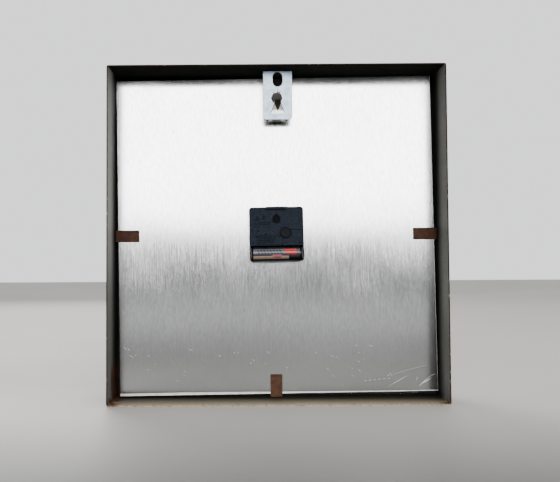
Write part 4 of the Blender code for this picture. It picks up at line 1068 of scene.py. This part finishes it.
def knob():
    """Serrated setting knob with a dished face and two raised arrows, in its well."""
    low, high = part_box("setting_knob")
    place = Matrix.Translation((KNOB_PLACE.x, 0, KNOB_PLACE.z))
    teeth, outer, root = 28, 5.0 * MM, 4.55 * MM
    head_y, shaft_radius, arrow_radius = 3.4 * MM, 1.2 * MM, 2.55 * MM
    loop = []
    for number in range(teeth):
        for offset, radius in ((-0.25, root), (-0.1, outer), (0.1, outer), (0.25, root)):
            angle = 2 * math.pi * (number + offset) / teeth
            loop.append((radius * math.cos(angle), radius * math.sin(angle)))
    dish = turned([(0, high.y + 1 * MM), (3.9 * MM, high.y + 1 * MM), (3.7 * MM, high.y - 0.35 * MM),
                   (0, high.y - 0.5 * MM)], "Y")
    head = cut(drawn([loop], head_y, high.y, 0.12 * MM, 1), [dish])
    joined_y = 3.5 * MM
    shaft = turned([(0, joined_y), (shaft_radius, joined_y), (shaft_radius, low.y), (0, low.y)], "Y", 24)
    parts = [head, shaft]
    for turn in (20, 200):
        last = math.radians(turn + 100)
        sweep = arc(2.9 * MM, (0, 0), turn, turn + 100, 10) + arc(2.2 * MM, (0, 0), turn + 100, turn, 10)
        tip = in_mm([(-1.1, 0), (1.1, 0), (0, 1.5)])
        tip = moved(tip, arrow_radius * math.cos(last), arrow_radius * math.sin(last), turn + 100)
        for shape in (sweep, tip):
            parts.append(drawn([shape], high.y - 0.55 * MM, high.y - 0.15 * MM, 0.04 * MM, 1))
    well = drawn([circle(6.7 * MM), circle(1.7 * MM)], 2.75 * MM, COVER_FRONT_Y - 0.08 * MM, 0.05 * MM, 1)
    well.transform(place)
    piece("knob_well", well, KNOB_PLASTIC, "case", (), DIAL_FRAME)
    mesh = merged(parts)
    mesh.transform(place)
    piece("setting_knob_head", mesh, KNOB_PLASTIC, "setting", ("setting_knob",), DIAL_FRAME)


def cell():
    """AA cell: printed film, and steel ends with a crimped shoulder and a pip."""
    length, radius, film = CELL_MINUS_X - CELL_PLUS_X, CELL_RADIUS, 0.12 * MM
    place = Matrix.Translation((CELL_PLUS_X, CELL_Y, CELL_Z))
    wrap = turned([(radius - 1.3 * MM, length - 0.35 * MM), (radius - 0.5 * MM, length - 0.30 * MM),
                   (radius - 0.1 * MM, length - 0.6 * MM), (radius, length - 1.1 * MM),
                   (radius, 2.4 * MM), (radius - 0.1 * MM, 1.6 * MM), (radius - 0.6 * MM, 1.15 * MM),
                   (radius - 1.9 * MM, 1.1 * MM), (radius - 1.9 * MM, 1.3 * MM),
                   (radius - 1.3 * MM, length - 0.35 * MM)], "X")
    can = turned([(0, length), (4.2 * MM, length), (4.6 * MM, length - 0.25 * MM),
                  (radius - 1.2 * MM, length - 0.3 * MM), (radius - film, length - 1 * MM),
                  (radius - film, 2 * MM), (radius - 1.0 * MM, 1.25 * MM), (3.6 * MM, 1.15 * MM),
                  (2.9 * MM, 0.9 * MM), (2.75 * MM, 0.3 * MM), (2.45 * MM, 0), (0, 0)], "X")
    for mesh in (wrap, can):
        mesh.transform(place)
    piece("cell_film", wrap, WRAP, "battery", ("battery",), DIAL_FRAME)
    piece("cell_can", can, STEEL, "battery", (), DIAL_FRAME)


def contacts():
    """Sprung minus contact wound from wire on its plate, and the plus plate with its pip."""
    plate_half, plate_x = 0.2 * MM, 26.5 * MM
    turns, count = 2.5, 70
    wound_x = plate_x - plate_half
    points = []
    for number in range(count + 1):
        share = number / count
        angle = 2 * math.pi * turns * share
        radius = 3.5 * MM - 1.4 * MM * share
        points.append((wound_x - (wound_x - CELL_MINUS_X - 0.65 * MM) * share,
                       CELL_Y + radius * math.cos(angle), CELL_Z + radius * math.sin(angle)))
    spring = wire(points, 0.32 * MM, 3)
    plates = []
    for x in (plate_x, -plate_x):
        outline = rounded_box(-5.5 * MM, 5.5 * MM, -6 * MM, 6 * MM, (1 * MM,) * 4)
        plate = drawn([outline], -plate_half, plate_half, 0.08 * MM)
        plate.transform(Matrix.Translation((x, -3.1 * MM, CELL_Z)) @ Matrix.Rotation(math.pi / 2, 4, "Z"))
        plates.append(plate)
    pip = turned(in_mm([(0, 0.6), (1.0, 0.5), (1.8, 0.1), (1.8, 0), (0, 0)]), "X", 32)
    pip.transform(Matrix.Translation((-plate_x + plate_half * 0.5, CELL_Y, CELL_Z))
                  @ Matrix.Diagonal((0.6, 1, 1, 1)))
    # Both contacts are in the darkened steel, as painted shade
    piece("minus_spring_contact", merged([spring, plates[0]]), SHADED_STEEL, "case",
          ("negative_contact",), DIAL_FRAME)
    piece("plus_contact", merged([plates[1], pip]), SHADED_STEEL, "case",
          ("positive_contact",), DIAL_FRAME)


def inner_works():
    """Materials of the works inside the movement."""
    dress(WHITE_PLASTIC, "bridge_plate", "intermediate_wheel", "third_wheel", "second_wheel", "centre_wheel",
          "motion_wheel")
    dress(BRASS, "cannon_pinion", "hour_wheel")
    dress(STEEL, "coil_core", "stator", "quartz_crystal")
    dress(BLACK_PLASTIC, "clock_chip")
    dress(COIL, "coil")
    dress(BOARD, "circuit_board")
    dress(MAGNET, "rotor")


def fixings_and_hands():
    """The washers and nuts in front of and behind the dial, and the three hands."""
    refined("rubber_washer", RUBBER, "case", 0.2 * MM)
    refined("brass_washer", BRASS, "case", 0.15 * MM)
    refined("fixing_nut", BRASS, "case", 0.3 * MM, 3)
    refined("hand_nut", BRASS, "minutes", 0.2 * MM)
    refined("hour_hand", HAND_BLACK, "hours", 0.12 * MM)
    refined("minute_hand", HAND_BLACK, "minutes", 0.12 * MM)
    refined("second_hand", HAND_RED, "seconds", 0.10 * MM)


# ---------------------------------------------------------------- studio

def studio_floor():
    bpy.ops.mesh.primitive_plane_add(size=14)
    floor = bpy.context.object
    floor.name = "studio_floor"
    look = Look("studio_floor_pale")
    clouds = look.noise(0.5, detail=4)
    near = look.mix(clouds, (0.43, 0.41, 0.38), (0.49, 0.47, 0.44))
    # Painted shade: the floor is pale by the clock and darkens from 0.03 m to 0.42 m towards the camera, for
    # the light falling off
    look.colour(look.mix(look.ramp(look.axes["Y"], 0.03, 0.42), near, (0.06, 0.06, 0.06)))
    look.roughness(look.ramp(clouds, 0.3, 0.7, 0.55, 0.7))
    look.bump(look.noise(3 * MM, detail=3), 0.1 * MM, 0.3)
    floor.data.materials.append(look.material)


def studio_world():
    """Even pale surroundings, brighter on the side that the camera looks towards."""
    world = bpy.data.worlds.new("studio")
    bpy.context.scene.world = world
    world.use_nodes = True
    nodes, links = world.node_tree.nodes, world.node_tree.links
    direction = nodes.new("ShaderNodeTexCoord")
    parts = nodes.new("ShaderNodeSeparateXYZ")
    share = nodes.new("ShaderNodeMapRange")
    for name, value in {"From Min": -0.6, "From Max": 0.5, "To Min": 1.48, "To Max": 0.22}.items():
        share.inputs[name].default_value = value
    background = nodes["Background"]
    background.inputs["Color"].default_value = (0.97, 0.98, 1.0, 1.0)
    links.new(direction.outputs["Generated"], parts.inputs["Vector"])
    links.new(parts.outputs["Y"], share.inputs["Value"])
    links.new(share.outputs["Result"], background.inputs["Strength"])


def softbox(name, place, target, size, power):
    """A rectangular area light at a place, aimed at a target, with its power in watts."""
    data = bpy.data.lights.new(name, "AREA")
    data.shape = "RECTANGLE"
    data.size, data.size_y = size
    data.energy = power
    lamp = holding(name, data)
    lamp.location = place
    lamp.rotation_euler = (Vector(target) - Vector(place)).to_track_quat("-Z", "Y").to_euler()


def camera():
    """The view of the open back, from a little to the left of centre and low down."""
    yaw, pitch, roll = math.radians(0.25), math.radians(2.10), math.radians(0.32)
    data = bpy.data.cameras.new("camera")
    data.sensor_width = 36
    data.lens = 47.5
    data.shift_x = 0.057
    data.clip_start = 0.01
    lens = holding("camera", data)
    turn = Matrix.Rotation(math.pi + yaw, 4, "Z") @ Matrix.Rotation(math.pi / 2 + pitch, 4, "X")
    lens.matrix_world = (Matrix.Translation((26.1 * MM, 767.7 * MM, 136.8 * MM)) @ turn
                         @ Matrix.Rotation(-roll, 4, "Z"))
    bpy.context.scene.camera = lens


def studio():
    studio_floor()
    studio_world()
    softbox("wide_softbox", (-0.1, 3.0, 1.02), (-0.1, 0.0, 1.02), (3.0, 1.36), 122)
    softbox("top_softbox", (-0.35, 0.75, 1.7), (0, 0.05, 0.15), (1.0, 0.8), 10)
    softbox("front_softbox", (0.9, -1.8, 1.3), (0, 0, 0.17), (1.2, 1.2), 34)
    camera()


case()
straps()
sheet_metal()
burr()
scratches()
dial_print()
bracket()
movement_cover()
movement_case()
cover_marks()
knob()
cell()
contacts()
inner_works()
fixings_and_hands()
studio()
